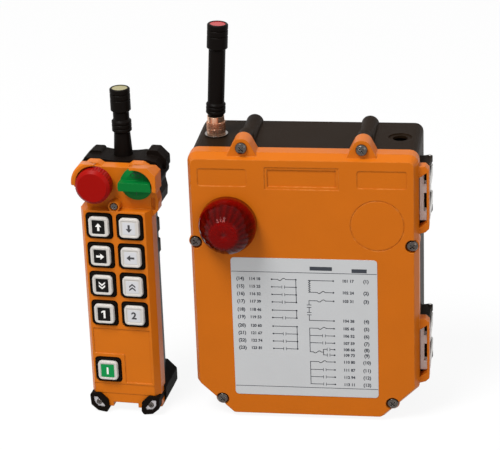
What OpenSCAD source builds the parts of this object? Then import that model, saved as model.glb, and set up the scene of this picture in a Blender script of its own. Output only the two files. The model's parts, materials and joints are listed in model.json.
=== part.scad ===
// Industrial crane radio remote control: a wall receiver with a hinged lid, and the
// battery handset that goes with it, standing side by side on one surface.
// Origin: centre of the receiver's bottom face. +X right, +Y back, +Z up. Millimetres.

/* [Receiver] */
// Width of the receiver case
rx_w = 190; // [176:1:210]
// Height of the receiver case without the screw ears
rx_h = 238; // [230:1:260]
// Depth of the receiver case, lid and base together
rx_d = 88; // [84:1:110]
// Depth of the lid
lid_d = 21; // [18:0.5:24]
// Wall of the lid and the base
rx_wall = 3; // [2.4:0.1:3.4]
// How far the lid's front face stands in from its outline
lid_bevel_w = 3.6; // [2:0.1:4]
// Depth of the bevel round the lid's front face
lid_bevel_d = 9; // [6:0.5:10]
// Radius of the case's upper corners
rx_corner_r = 8; // [6:0.5:9]
// Width cut off each lower corner
chamfer_w = 31; // [28:1:33]
// Height cut off each lower corner
chamfer_h = 29.5; // [27:0.5:31]
// Distance between the two upper lid screws
ear_pitch = 98.4; // [92:0.2:104]
// Height of the upper lid screws above the case's top edge
ear_rise = 5.4; // [5:0.1:6]

/* [Lamp] */
// Radius of the signal lamp's lens
lens_r = 24; // [21.5:0.5:25]
// How far the lens stands out
lens_rise = 29; // [20:0.5:32]

/* [Receiver antenna] */
// Length of the receiver's whip above its sleeve
rx_whip_l = 80; // [60:1:110]
// Radius of the whip's plain part
whip_r = 7; // [5.8:0.1:7.4]
// Lean of the whip as it stands in its sleeve, in degrees
whip_lean = 3.5; // [0:0.5:5]

/* [Handset] */
// Width of the handset's grip
hs_w = 61; // [59.5:0.5:64]
// Height of the handset's shells above their lower edge
hs_h = 218; // [217:0.5:222]
// Depth of the orange front shell
front_d = 20; // [19.5:0.5:22]
// Depth of the black rear shell
rear_d = 28; // [27.5:0.5:34]
// Wall of both shells
hs_wall = 2.5; // [2.2:0.1:2.8]
// Distance between the two button columns
key_pitch_x = 26.4; // [25.8:0.1:26.8]
// Distance between button rows
key_pitch_z = 26.6; // [26:0.1:27]
// Side of a button cap
cap_side = 17.4; // [16.4:0.1:18.6]
// Travel of a button
key_travel = 3; // [2:0.1:3.2]
// Turn of the handset on its surface, in degrees
hs_yaw = -4.5; // [-8:0.5:0]

/* [Handset antenna] */
// Length of the handset's stub antenna
hs_whip_l = 61; // [56:1:90]

/* [Handset knobs] */
// Radius of the stop button's mushroom cap
stop_r = 15; // [13:0.1:15.4]
// Travel of the stop button
stop_travel = 4; // [3:0.5:5]
// Radius of the rotary switch's knob
rotary_r = 14; // [12.5:0.1:14.4]

/* [Hidden] */
$fn = 48;
over = 0.4;          // overrun of every cut
fit_gap = 0.35;      // clearance round a part that moves or drops in
slip_gap = 0.06;     // radial clearance of a running fit
soft_steps = 4;      // flats in each rounded corner of an outline
hair = 0.02;         // thickness of a skin that a blend starts from

// Receiver case
base_inset = 1;      // how far the base stands back from the lid's outline
base_top = rx_h - base_inset;
joint_y = lid_d;     // the plane where lid and base meet
base_floor_y = rx_d - rx_wall;
ear_r = 7.8;
ear_foot_w = 27;
ear_front_y = 4;
ear_x = ear_pitch / 2;
ear_z = rx_h + ear_rise;
ridge_r = 7.5;
ridge_drop = 2.5;
ridge_z = rx_h - ridge_drop;
ridge_boss_l = 14;
ridge_boss_r = 6.5;
side_screw_edge = 5.1;
side_screw_x = rx_w / 2 - side_screw_edge;
side_screw_drop = 77.2;
side_screw_rise = rx_h - side_screw_drop;
foot_screw_x = rx_w / 2 - 0.72 * chamfer_w;
foot_screw_z = 0.54 * chamfer_h;
screw_boss_r = 5.8;
screw_pocket_y = 3.4;
lid_screw_r = 2.4;
lid_screw_head_r = 4.9;
lid_screw_head_h = 3.2;
lid_hole_r = lid_screw_r + fit_gap;
screw_end_gap = 0.2;
cross_l = 5.2;
cross_w = 1.1;
cross_d = 1.6;
insert_r = 3;
insert_l = 10;
insert_bore_r = 2.1;
boss_l = 22;
rim_w = 11;
rim_d = 6;
lid_rim_d = 5;
gasket_w = 1.4;
gasket_d = 1;
gasket_edge = 8.4;

// Lid panels
panel_d = 0.5;
panel_r = 2;
side_panel_w = 40.6;
side_panel_h = 15.2;
side_panel_edge = 29.4;
side_panel_x = rx_w / 2 - side_panel_edge;
panel_drop = 19.3;
panel_z = rx_h - panel_drop;
mid_panel_w = 61;
mid_panel_h = 19.2;
mid_panel_d = 1.4;
mid_panel_rim = 2.2;
blank_r = 22.4;
blank_groove_w = 0.8;
blank_groove_d = 0.35;
label_w = 122;
label_h = 0.532 * rx_h;
label_t = 0.3;
label_r = 3;
label_rise = 0.3563 * rx_h;

// Lamp
lamp_edge = 33.5;
lamp_x = lamp_edge - rx_w / 2;
lamp_drop = rx_h / 4;
lamp_z = rx_h - lamp_drop;
lens_t = 2;
lens_top_share = 0.46;
lens_skirt_share = 0.24;
// Points of the cone between skirt and top: share of its width left, share of its rise
lens_cone_shares = [[0.95, 0.12], [0.84, 0.32], [0.68, 0.52], [0.46, 0.73], [0.24, 0.88], [0.08, 0.97]];
lens_foot_l = 7;
lens_foot_r = 17;
lens_foot_t = 1.8;
lamp_hole_r = lens_foot_r + slip_gap;
seal_t = 0.8;
reflector_r = 14.6;
reflector_h = 12;
reflector_t = 1;
lamp_board_r = 20;
lamp_board_t = 1.6;
led_r = 2.5;
led_h = 5.4;
led_ring_r = 6.5;
led_count = 6;

// Hinges: links with toothed rods sit in the lid's loops and swing on pins behind them
hinge_drop = 39.8;
hinge_rises = [rx_h - hinge_drop, 62];
loop_h = 59;
loop_w = 8.2;
loop_bar = 1.8;
loop_front_y = 9;
loop_rear_y = 19;
loop_bevel = 3;
loop_slope = 4.5;
loop_end_h = 5.4;
loop_root = 4;
lug_shy = 1.2;       // how far the lug's side and the pin stay in
lug_x = rx_w / 2 + loop_w - lug_shy;
lug_gap = 0.8;
lug_front_y = joint_y + lug_gap;
lug_d = 27;
lug_h = 48.6;
link_drop = 3.6;
pin_r = 1.4;
pin_x = lug_x - lug_shy;
pin_back = 37;
pin_y = joint_y + pin_back;
pin_overhang = 1;
pin_ear_h = 5;
pin_ear_r = 2.6;
knuckle_r = 2.6;
knuckle_h = 10;
knuckle_pitch = 24;
strap_t = 1.1;
rod_w = 3.2;
rod_d = 4;
rod_tooth_w = 2.4;
rod_tooth_h = 8;

// Antenna socket and whip of the receiver
socket_edge = 18;
socket_x = rx_w / 2 - socket_edge;
socket_back = 36;
socket_y = rx_d - socket_back;
socket_hole_r = 6.35;
spot_r = 10;
spot_d = 0.8;
socket_flange_r = 9.7;
socket_flange_h = 1.5;
socket_body_r = 6.2;
socket_body_l = 11;
socket_nut_af = 17;
socket_nut_h = 3;
socket_post_r = 5;
socket_post_h = 10;
sleeve_r = 7.2;
sleeve_bore_r = socket_post_r + slip_gap;
sleeve_lift = 0.3;
sleeve_h = 15.4;
sleeve_grip_h = 5;
sleeve_grip_r = 7.8;
knurl_count = 20;
knurl_r = 0.5;
socket_face_z = base_top + socket_flange_h;
sleeve_z = socket_face_z + sleeve_lift;
rx_whip_z = sleeve_z + sleeve_h;
collar_step = 1.2;
whip_collar_r = whip_r + collar_step;
whip_collar_h = 12;
top_step = 1.7;
whip_top_r = whip_r + top_step;
whip_top_h = 20.4;
whip_groove_r = 0.7;
whip_step = 1.5;
whip_dish_r = 6.6;
whip_dish_d = 1.2;

// Inside the receiver
board_side_gap = 17;
board_w = rx_w - 2 * board_side_gap;
board_z = 36;
board_top_gap = 16;
board_h = rx_h - board_z - board_top_gap;
board_t = 1.6;
board_gap = 11;
board_front_y = base_floor_y - board_gap - board_t;
post_r = 4;
spacer_r = 3;
spacer_l = 8;
spacer_inset = 6;
board_screw_r = 1.5;
relay_w = 16;
relay_d = 16;
relay_h = 20;
relay_cols = 4;
relay_rows = 3;
relay_pitch_x = 22;
relay_pitch_z = 0.14 * board_h;
relay_z = board_z + 0.387 * board_h;
relay_base_t = 0.8;
way_pitch = 7.62;
terminal_w = 11;
terminal_d = 13;
terminal_ways = [13, 13];
terminal_edge = 12;
terminal_x = board_w / 2 - terminal_edge;
terminal_z = board_z + 0.0753 * board_h;
terminal_screw_r = 1.9;
terminal_screw_d = 3;
coil_w = 46;
coil_h = 36;
coil_d = 26;
core_w = 56;
core_h = 22;
core_d = 29;
coil_side = 81;
coil_x = rx_w / 2 - coil_side;
coil_drop = 42;
coil_z = rx_h - coil_drop;
fuse_count = 5;
fuse_pitch = 17;
fuse_w = 9;
fuse_h = 26;
fuse_d = 10;
fuse_z = board_z + 0.183 * board_h;
fuse_tube_r = 2.6;
cap_r = 8;
cap_l = 22;
cap_pitch = 18;
cap_in = 10;
cap_x = terminal_x - cap_in;
cap_drop = 40;
cap_z = rx_h - cap_drop;
radio_w = 36;
radio_h = 26;
radio_t = 1.2;
radio_x = -terminal_x;
radio_z = coil_z;
radio_lift = 10;
radio_front_y = board_front_y - radio_lift;
radio_can_w = 20;
radio_can_h = 18;
radio_can_d = 4;
header_w = 30;
header_h = 3;
coax_r = 1.3;
coax_bend = 5;
coax_fitting_r = 2.6;
coax_fitting_l = 4;

// Mounting at the receiver's back and bottom
buffer_r = 10;
buffer_l = 10;
buffer_edge = 20;
buffer_pitch_x = rx_w - 2 * buffer_edge;
buffer_z = 46;
buffer_drop = 32;
buffer_pitch_z = rx_h - buffer_drop - buffer_z;
stud_r = 3;
stud_l = 14;
stud_bush_r = 4.6;
stud_root_r = 2.6;     // in the case wall, and in the relief behind the thread
stud_neck_l = 0.8;
cable_hole_r = 12.7;
cable_x = -30;
cable_back = 34;
cable_y = rx_d - cable_back;

// Handset shells
hs_x = -157.3;                    // where the handset stands: its front middle
hs_ahead = 0.4;
hs_y = -rx_d / 2 - hs_ahead;
hs_foot_z = 5;                    // lower edge of the shells
hs_top = hs_foot_z + hs_h;
face_in = 4;
face_w = hs_w - 2 * face_in;
bevel_d = 7;
split_y = front_d;
back_y = front_d + rear_d;
grip_drop = 36;
grip_top = hs_top - grip_drop;
ledge_t = 1.5;
rear_taper = 6.5;
head_out = 6;
head_w = hs_w + 2 * head_out;
head_h = 43;
head_z = hs_top - head_h;
head_front_y = 9;
head_back_in = 2;
head_back_w = head_w - 2 * head_back_in;
// The head's outline: across as shares of half its width, up as shares of its height
head_shares = [[-0.7, 0], [0.83, 0], [0.98, 0.14], [1, 0.32], [0.955, 0.5], [0.99, 0.68], [0.97, 0.86],
    [0.86, 0.97], [0.7, 1],
               [-0.78, 1], [-0.86, 0.93], [-1, 0.64], [-0.98, 0.56], [-0.75, 0.46], [-0.7, 0.4]];
shell_seal_w = 0.9;
shell_seal_d = 0.8;
seal_edge = 0.8;
slot_h = 11;
slot_w = 3.4;
slot_d = 2;
slot_in = 4.7;
slot_drop = 31;

// Guards and knobs of the head
stop_x = -15;
rotary_x = 19.6;
knob_drop = 12.5;
knob_z = hs_top - knob_drop;
guard_bore_gap = 1.3;
guard_front_y = -4;
guard_root_y = 14;
guard_edge = 1.5;
guard_slope = 11;
guard_rise = 5.2;
guard_slope_z = hs_top + guard_rise;
// The low humps behind the guards: across as shares of half the head's width, up as shares of hump_rise
stop_hump_shares = [[-0.767, -0.46], [-0.658, 1], [-0.411, 1], [-0.247, -0.46]];
rotary_hump_shares = [[0.247, -0.46], [0.37, 1], [0.63, 1], [0.795, -0.46]];
hump_rise = 2.6;
hump_r = 3;
hump_root_r = 0.2;
hump_front_y = 11;
stop_guard_r = 20.5;
stop_guard_from = -4;
stop_guard_turn = 96;
stop_guard_back = 2.6;  // how far its front edge stands behind the other guard's
rotary_guard_r = 22.5;
rotary_guard_out = 1.7;
rotary_guard_up = 6;
rotary_guard_cut = 8;
rotary_guard_from = -12;
rotary_guard_turn = 114;
knob_hole_r = 6.5;
stop_cap_h = 13;
stop_gap = 1;        // left between the pressed cap and the head
stop_front_y = head_front_y - stop_gap - stop_travel - stop_cap_h;
stop_bevel = 2.6;
stop_stem_r = 5.5;
stop_ridges = 40;
stop_ridge_r = 0.8;
stem_tip_r = 4.4;
stem_end_gap = 0.1;
rotary_rise = 1.7;
rotary_base_y = head_front_y - fit_gap;
rotary_t = 4;
rotary_front_y = rotary_base_y - rotary_t;
rotary_bar_w = 7.4;
rotary_bar_h = 8.4;
rotary_shaft_r = 5.5;
switch_block_w = 17.6;
switch_block_y = head_front_y + hs_wall;
stem_in = 6;         // how far the stem and the shaft reach into their blocks
switch_block_end = 2;
switch_block_l = stem_in + stop_travel + switch_block_end;
stem_back_y = switch_block_y + stem_in;

// Buttons
key_hole_w = 23.4;
key_hole_h = 23.6;
key_hole_r = 3.6;
cap_corner_r = 3.4;
cap_front_y = -3.6;
cap_back_y = 7;
cap_edge = 1;
cap_dish_d = 0.3;
cap_label_side = 13;
boot_gap = 0.3;
boot_fit = 0.1;
boot_front_y = 1;
boot_rise_y = -1;
boot_step = 1.1;
boot_back_y = 7.6;
boot_flange = 0.5;
boot_flange_t = 1.4;
plunger_r = 3;
plunger_in = 0.5;    // how far a plunger reaches into its switch at rest
key_gap = 1;         // left between a pressed cap and its switch
plunger_l = key_travel + key_gap + plunger_in;
switch_side = 12;
switch_h = 6;
switch_front_y = cap_back_y + key_travel + key_gap;
switch_back_y = switch_front_y + switch_h;
switch_bore_d = 2 * plunger_in + key_travel;
first_row_drop = 49.5;
first_row_z = hs_top - first_row_drop;
row_count = 4;
start_row = 5;
hs_board_w = 52;
hs_board_z = 24;
hs_board_drop = 41;
hs_board_h = hs_top - hs_board_drop - hs_board_z;
hs_board_t = 1.6;
board_post_r = 2;
board_post_x = 18;
board_post_z = 9;
chip_w = 16;
chip_h = 12;
chip_t = 1;
blank_panel_d = 0.6;

// Battery bay at the handset's back
cell_r = 7.2;
cell_l = 50.2;
cell_tip_r = 2.7;
cell_tip_l = 1.4;
cell_back = 15;
cell_y = back_y - cell_back;
cell_z = 46;
contact_w = 12;
contact_t = 0.5;
bay_wall = 1.2;
bay_w = 4 * cell_r + fit_gap;
bay_h = 2 * cell_l + 2 * contact_t;
bay_front_y = cell_y - cell_r - bay_wall;
door_w = 39;
door_h = 116;
door_z = 35;
door_t = 2;
door_lip = 1.6;
door_seat_gap = 0.1;
door_pin_r = 1;
door_knuckle_r = 2.3;
door_knuckle_w = 18;
door_pin_rise = 3;
door_ear_w = 5;
door_screw_r = 1.6;
door_screw_head_r = 4.4;
door_screw_head_h = 2.4;
door_screw_rise = 5;
door_boss_r = 3;
door_boss_l = 8;
rib_share = 0.32;
rib_h = 17;
rib_pitch = 19;
rib_drop = 61;
rib_in = 2.6;
rib_y0 = 26;
rib_l = 13;

// Bumpers
bumper_t = 2.4;
bumper_y0 = 22;
bumper_h = 17;
saddle_r = 90;       // curve of the bumper's top between its ears
saddle_d = 1.6;      // depth of that curve
// The two ears of the top bumper: near side, far side and rise
ear_in = 21.4;
ear_out = 37.6;
ear_up = 6.6;
left_ear_in = 17.4;
left_ear_out = 34;
left_ear_up = 4.4;
ear_drop = 10;
ear_cut = 7.4;
ear_y0 = 34;
ear_edge_r = 2.2;
pad_x = 23;
pad_z = 9.6;
pad_w = 8.6;
pad_front_y = -2.4;
pad_y1 = 15;
// Corners of the left front pad, as shares of its half width about its middle
pad_shares = [[-0.92, 0.9], [0.16, 1], [0.92, 0.27], [1, -0.72], [0.76, -1.1], [-0.16, -0.95],
    [-0.84, -0.36]];
pad_edge_r = 2;
washer_w = 5;
// Corners of the left washer, as shares of its half width about its middle
washer_shares = [[-1, 0.95], [-0.28, 0.95], [1, -0.62], [0.86, -1], [-0.28, -0.85], [-0.9, -0.1]];
washer_edge_r = 0.8;
washer_t = 1;
washer_front_y = -1.4;
corner_y0 = 15;
corner_in_x = 14;
corner_out = 1.8;
corner_out_x = hs_w / 2 + corner_out;
corner_h = 27;
corner_cut = 8;
corner_edge_r = 2;
rear_bump = 6;
rear_bump_y = back_y + rear_bump;
shell_screw_r = 1.6;
shell_screw_head_r = 3.1;
shell_screw_head_h = 1.8;
foot_screw_head_r = 2.5;
shell_screw_l = 12;
mid_screw_drop = 32.2;
mid_screw_z = hs_top - mid_screw_drop;
mid_screw_recess_r = 3.8;
mid_screw_boss_r = 4.8;
mid_boss_front_y = 0.4;
notch_w = 22;
notch_h = 4;
step_d = 0.8;
step_zs = [22, 12.6];

// Stub antenna of the handset
stub_back = 10;
stub_y = back_y - stub_back;
stub_r = 6.8;
stub_foot_r = 8;
stub_ring_r = stub_r + whip_step;
stub_ring_z = 24;
stub_ring_h = 10;
stub_top_h = 19;
stub_top_r = stub_r + top_step;
stub_seat = 1.6;

button_names = ["button_up", "button_down", "button_east", "button_west",
                "button_south", "button_north", "button_one", "button_two"];

// Placing
module in_receiver() translate([0, -rx_d / 2, 0]) children();
module in_handset() translate([hs_x, hs_y, 0]) rotate([0, 0, hs_yaw]) children();
module both_sides() {
    children();
    mirror([1, 0, 0]) children();
}
// A flat X-Z shape made solid from depth y0 to depth y1
module slab(y0, y1) translate([0, y1, 0]) rotate([90, 0, 0]) linear_extrude(y1 - y0) children();
// A flat X-Y shape made solid from height z0 to height z1
module prism(z0, z1) translate([0, 0, z0]) linear_extrude(z1 - z0) children();
module bar_y(x, z, y0, y1, r) translate([x, y0, z]) rotate([-90, 0, 0]) cylinder(h = y1 - y0, r = r);
module bar_x(y, z, x0, x1, r) translate([x0, y, z]) rotate([0, 90, 0]) cylinder(h = x1 - x0, r = r);
module block(x0, x1, y0, y1, z0, z1) translate([x0, y0, z0]) cube([x1 - x0, y1 - y0, z1 - z0]);

// Outlines with rounded corners
function unit(v) = v / norm(v);
function fillet(a, p, b, r) =
    let (u = unit(a - p), v = unit(b - p), half = acos(u * v) / 2,
        centre = p + unit(u + v) * r / sin(half),
         e0 = unit(p + u * r / tan(half) - centre), e1 = unit(p + v * r / tan(half) - centre),
             turn = 180 - 2 * half)
    [for (i = [0:soft_steps]) let (k = i / soft_steps)
        centre + r * (sin((1 - k) * turn) * e0 + sin(k * turn) * e1) / sin(turn)];
function soft(points, r) = let (n = len(points))
    [for (i = [0:n - 1]) each fillet(points[(i + n - 1) % n], points[i], points[(i + 1) % n],
        is_list(r) ? r[i] : r)];
function box_points(w, h) = [[-w / 2, -h / 2], [w / 2, -h / 2], [w / 2, h / 2], [-w / 2, h / 2]];
module soft_rect(w, h, r) polygon(soft(box_points(w, h), r));

// Receiver outlines: all edges moved in by one amount, the bottom edge by another
function case_points(inset, foot) =
    let (cut = norm([chamfer_w, chamfer_h]), x = rx_w / 2 - inset,
         z = chamfer_h + inset * (cut - chamfer_h) / chamfer_w,
         foot_x = rx_w / 2 - (inset * cut + (chamfer_h - foot) * chamfer_w) / chamfer_h)
    [[-foot_x, foot], [foot_x, foot], [x, z], [x, rx_h - inset], [-x, rx_h - inset], [-x, z]];
module case_outline(inset, foot) {
    low_r = max(rx_corner_r / 2 - inset / 4, rx_wall / 2);
    top_r = max(rx_corner_r - inset, rx_wall / 2);
    polygon(soft(case_points(inset, foot), [low_r, low_r, low_r, top_r, top_r, low_r]));
}
module lid_outline(inset = 0) case_outline(inset, inset);
module base_outline(inset = 0) case_outline(base_inset + inset, inset);

function edge_screws() = [[side_screw_x, side_screw_rise], [-side_screw_x, side_screw_rise],
                          [foot_screw_x, foot_screw_z], [-foot_screw_x, foot_screw_z]];
function ear_screws() = [[ear_x, ear_z], [-ear_x, ear_z]];

module ear_outline(r, foot_w) {
    translate([0, ear_rise]) circle(r);
    polygon([[-foot_w / 2, -ear_r], [foot_w / 2, -ear_r], [foot_w / 2, -ear_r / 2],
             [r * cos(25), ear_rise + r * sin(25)], [-r * cos(25), ear_rise + r * sin(25)],
                 [-foot_w / 2, -ear_r / 2]]);
}

// The open bracket on the lid's side that a hinge rod sits in
module hinge_loop_outline() {
    z = loop_h / 2;
    difference() {
        polygon([[-loop_root, -z], [0, -z], [loop_w - loop_bevel, -z + loop_slope - loop_bevel],
            [loop_w, -z + loop_slope],
                 [loop_w, z - loop_bevel], [loop_w - loop_bevel, z], [-loop_root, z]]);
        polygon([[0, -z + loop_end_h], [loop_w - loop_bar, -z + loop_slope + loop_end_h],
                 [loop_w - loop_bar, z - loop_end_h], [0, z - loop_end_h - loop_slope]]);
    }
}

module receiver_lid() color("darkorange") in_receiver() difference() {
    union() {
        difference() {
            union() {
                slab(lid_bevel_d, lid_d) lid_outline();
                hull() {
                    slab(0, hair) lid_outline(lid_bevel_w);
                    slab(lid_bevel_d, lid_bevel_d + hair) lid_outline();
                }
            }
            slab(rx_wall, lid_d - lid_rim_d) lid_outline(rx_wall + lid_bevel_w);
            slab(rx_wall, lid_d + over) lid_outline(rim_w + base_inset);
        }
        for (s = edge_screws()) bar_y(s[0], s[1], screw_pocket_y, joint_y, screw_boss_r);
        for (side = [-1, 1]) translate([side * ear_x, 0, rx_h]) slab(ear_front_y, joint_y)
            ear_outline(ear_r, ear_foot_w);
        for (z = hinge_rises) translate([rx_w / 2, 0, z]) slab(loop_front_y, loop_rear_y)
            hinge_loop_outline();
        bar_y(lamp_x, lamp_z, 0, rx_wall + over, lens_foot_r + rx_wall);
    }
    for (s = edge_screws()) {
        bar_y(s[0], s[1], -over, joint_y + over, lid_hole_r);
        bar_y(s[0], s[1], -over, screw_pocket_y, screw_boss_r);
    }
    for (s = ear_screws()) bar_y(s[0], s[1], 0, joint_y + over, lid_hole_r);
    bar_y(lamp_x, lamp_z, -over, lid_d, lamp_hole_r);
    for (side = [-1, 1]) translate([side * side_panel_x, 0, panel_z])
        slab(-over, panel_d) soft_rect(side_panel_w, side_panel_h, panel_r);
    translate([0, 0, panel_z]) {
        slab(-over, panel_d) square([mid_panel_w, mid_panel_h], center = true);
        slab(-over, mid_panel_d) square([mid_panel_w - 2 * mid_panel_rim,
            mid_panel_h - 2 * mid_panel_rim], center = true);
    }
    translate([-lamp_x, 0, lamp_z]) slab(-over, blank_groove_d) difference() {
        circle(blank_r);
        circle(blank_r - blank_groove_w);
    }
}

module lid_gasket_outline() difference() {
    base_outline(gasket_edge);
    base_outline(gasket_edge + gasket_w);
}
module lid_gasket() color("#111111") in_receiver() slab(joint_y, joint_y + gasket_d) lid_gasket_outline();

module receiver_base() color("#23211f") in_receiver() difference() {
    union() {
        difference() {
            slab(joint_y, rx_d) base_outline();
            slab(joint_y - over, base_floor_y) base_outline(rim_w);
            slab(joint_y + rim_d, base_floor_y) base_outline(rx_wall);
        }
        for (s = edge_screws()) bar_y(s[0], s[1], joint_y, joint_y + boss_l, insert_r + base_inset);
        for (side = [-1, 1]) translate([side * ear_x, 0, 0]) {
            bar_y(0, ridge_z, joint_y, rx_d, ridge_r);
            translate([0, 0, rx_h]) slab(joint_y, joint_y + ridge_boss_l)
                ear_outline(ridge_boss_r, 2 * ridge_r);
        }
        for (z = hinge_rises) hinge_lug(z - link_drop);
        for (x = spacer_xs(), z = spacer_zs()) bar_y(x, z, base_floor_y - board_gap + spacer_l,
            base_floor_y, post_r);
    }
    slab(joint_y - over, joint_y + gasket_d) lid_gasket_outline();
    for (s = concat(edge_screws(), ear_screws())) bar_y(s[0], s[1], joint_y - over, joint_y + insert_l,
        insert_r);
    for (x = [-socket_x, socket_x]) translate([x, socket_y, base_top - 2 * rx_wall])
        cylinder(h = 3 * rx_wall, r = socket_hole_r);
    translate([socket_x, socket_y, base_top - spot_d]) cylinder(h = rx_wall, r = spot_r);
    translate([cable_x, cable_y, -over]) cylinder(h = rx_wall + 2 * over, r = cable_hole_r);
    for (x = buffer_xs(), z = buffer_zs()) bar_y(x, z, base_floor_y - over, rx_d + over, stud_root_r);
    for (x = spacer_xs(), z = spacer_zs()) bar_y(x, z, base_floor_y - board_gap, base_floor_y,
        board_screw_r);
}

module hinge_lug(z) difference() {
    union() {
        block(rx_w / 2 - base_inset - rx_wall / 2, lug_x, lug_front_y, lug_front_y + lug_d, z - lug_h / 2,
            z + lug_h / 2);
        for (end = [-1, 1]) pin_ear(z + end * (lug_h - pin_ear_h) / 2);
    }
    for (end = [-1, 1]) translate([pin_x, pin_y, z + end * (lug_h - pin_ear_h) / 2 - pin_ear_h])
        cylinder(h = 2 * pin_ear_h, r = pin_r);
}

// A flat ear that carries one end of a hinge pin
module pin_ear(z) prism(z - pin_ear_h / 2, z + pin_ear_h / 2) {
    translate([pin_x, pin_y]) circle(pin_ear_r);
    polygon([[rx_w / 2 - base_inset - rx_wall / 2, lug_front_y + lug_d - over],
        [lug_x, lug_front_y + lug_d - over],
             [pin_x + pin_ear_r * cos(20), pin_y - pin_ear_r * sin(20)],
                 [pin_x - pin_ear_r * sin(20), pin_y + pin_ear_r * cos(20)],
             [rx_w / 2 - base_inset - rx_wall / 2, pin_y]]);
}

module hinge_pins() color("silver") in_receiver() for (z = hinge_rises)
    translate([pin_x, pin_y, z - link_drop - lug_h / 2 - pin_overhang])
        cylinder(h = lug_h + 2 * pin_overhang, r = pin_r);

// Knuckles on the pin, straps round the lug, and a toothed rod in the lid's loop
module hinge_links() color("gainsboro") in_receiver() for (z = hinge_rises) hinge_link(z);

module hinge_link(z) {
    strap_x = lug_x + fit_gap;
    strap_y = (loop_rear_y + lug_front_y) / 2 - strap_t / 2;
    rod_x = rx_w / 2 + fit_gap;
    rod_z0 = z - loop_h / 2 + loop_end_h + loop_slope;
    rod_z1 = z + loop_h / 2 - loop_end_h - loop_slope;
    difference() {
        union() for (end = [-1, 1]) {
            kz = z - link_drop + end * knuckle_pitch / 2;
            translate([pin_x, pin_y, kz - knuckle_h / 2]) cylinder(h = knuckle_h, r = knuckle_r);
            block(strap_x, strap_x + strap_t, strap_y, pin_y, kz - knuckle_h / 2, kz + knuckle_h / 2);
            block(rod_x, strap_x + strap_t, strap_y, strap_y + strap_t, kz - knuckle_h / 2,
                kz + knuckle_h / 2);
            block(rod_x, rod_x + rod_w + rod_tooth_w, loop_rear_y - rod_d, strap_y + strap_t,
                  kz - rod_tooth_h / 2, kz + rod_tooth_h / 2);
        }
        translate([pin_x, pin_y, z - loop_h / 2]) cylinder(h = loop_h, r = pin_r + slip_gap);
    }
    block(rod_x, rod_x + rod_w, loop_rear_y - rod_d, strap_y + strap_t, rod_z0, rod_z1);
}

// A pan-head screw along +Y, its seat at y, with a cross recess
module pan_screw(x, z, y, len, r, head_r, head_h) {
    size = head_r / lid_screw_head_r;
    bar_y(x, z, y, y + len, r);
    difference() {
        translate([x, y, z]) rotate([90, 0, 0]) rotate_extrude() pan_profile(head_r, head_h);
        for (turn = [45, 135]) translate([x, y - head_h + cross_d * size / 2, z]) rotate([0, turn, 0])
            cube([cross_l * size, cross_d * size + over, cross_w * size], center = true);
    }
}
module pan_profile(r, h) polygon([[0, 0], [r, 0], [r, h * 0.45], [r * 0.86, h * 0.8], [r * 0.6, h],
    [0, h]]);

module lid_screws() color("dimgray") in_receiver() {
    for (s = edge_screws()) pan_screw(s[0], s[1], screw_pocket_y,
        joint_y - screw_pocket_y - screw_end_gap,
                                      lid_screw_r, lid_screw_head_r, lid_screw_head_h);
    for (s = ear_screws()) pan_screw(s[0], s[1], ear_front_y, joint_y - ear_front_y - screw_end_gap,
                                     lid_screw_r, lid_screw_head_r, lid_screw_head_h);
}

module lid_inserts() color("goldenrod") in_receiver() for (s = concat(edge_screws(), ear_screws()))
    difference() {
    bar_y(s[0], s[1], joint_y, joint_y + insert_l, insert_r);
    bar_y(s[0], s[1], joint_y - over, joint_y + insert_l + over, insert_bore_r);
}

// Lamp
module at_lamp(y) in_receiver() translate([lamp_x, y, lamp_z]) rotate([90, 0, 0]) children();

// Outer line of the lens, from its foot up to its flat top
function lens_line(r, h) =
    let (top_r = r * lens_top_share, skirt = h * lens_skirt_share)
    concat([[0, 0], [r, 0], [r, skirt]],
           [for (s = lens_cone_shares) [top_r + (r - top_r) * s[0], skirt + (h - skirt) * s[1]]],
           [[top_r - (r - top_r) * 0.12, h], [0, h]]);

module lamp_lens() color("#b3121299") at_lamp(-seal_t) difference() {
    rotate_extrude() polygon(lens_line(lens_r, lens_rise - seal_t));
    translate([0, 0, -over]) rotate_extrude() polygon(lens_line(lens_r - lens_t,
        lens_rise - seal_t - lens_t + over));
}

module lamp_seal() color("#1a1a1a") at_lamp(lens_foot_l) difference() {
    union() {
        cylinder(h = lens_foot_l, r = lens_foot_r);
        translate([0, 0, lens_foot_l]) cylinder(h = seal_t, r = lens_r - lens_t / 4);
    }
    translate([0, 0, -over]) cylinder(h = lens_foot_l + seal_t + 2 * over, r = lens_foot_r - lens_foot_t);
}

module lamp_reflector() color("white") at_lamp(lens_foot_l) difference() {
    cylinder(h = reflector_h, r1 = led_ring_r + led_r + 2 * reflector_t, r2 = reflector_r);
    translate([0, 0, -over]) cylinder(h = reflector_h + 2 * over, r1 = led_ring_r + led_r + reflector_t,
        r2 = reflector_r - reflector_t);
}

module lamp_board() color("darkgreen") at_lamp(lens_foot_l + lamp_board_t) {
    cylinder(h = lamp_board_t, r = lamp_board_r);
    for (i = [0:led_count - 1]) rotate([0, 0, i * 360 / led_count]) translate([led_ring_r, 0, 0])
        cylinder(h = lamp_board_t + led_h, r = led_r);
}

module wiring_label() color("gainsboro") in_receiver() translate([0, 0, label_rise])
    slab(-label_t, 0) soft_rect(label_w, label_h, label_r);

// Receiver antenna
module at_socket(z) in_receiver() translate([-socket_x, socket_y, z]) children();
module hex_nut(af, h) cylinder(h = h, r = af / 2 / cos(30), $fn = 6);

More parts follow.
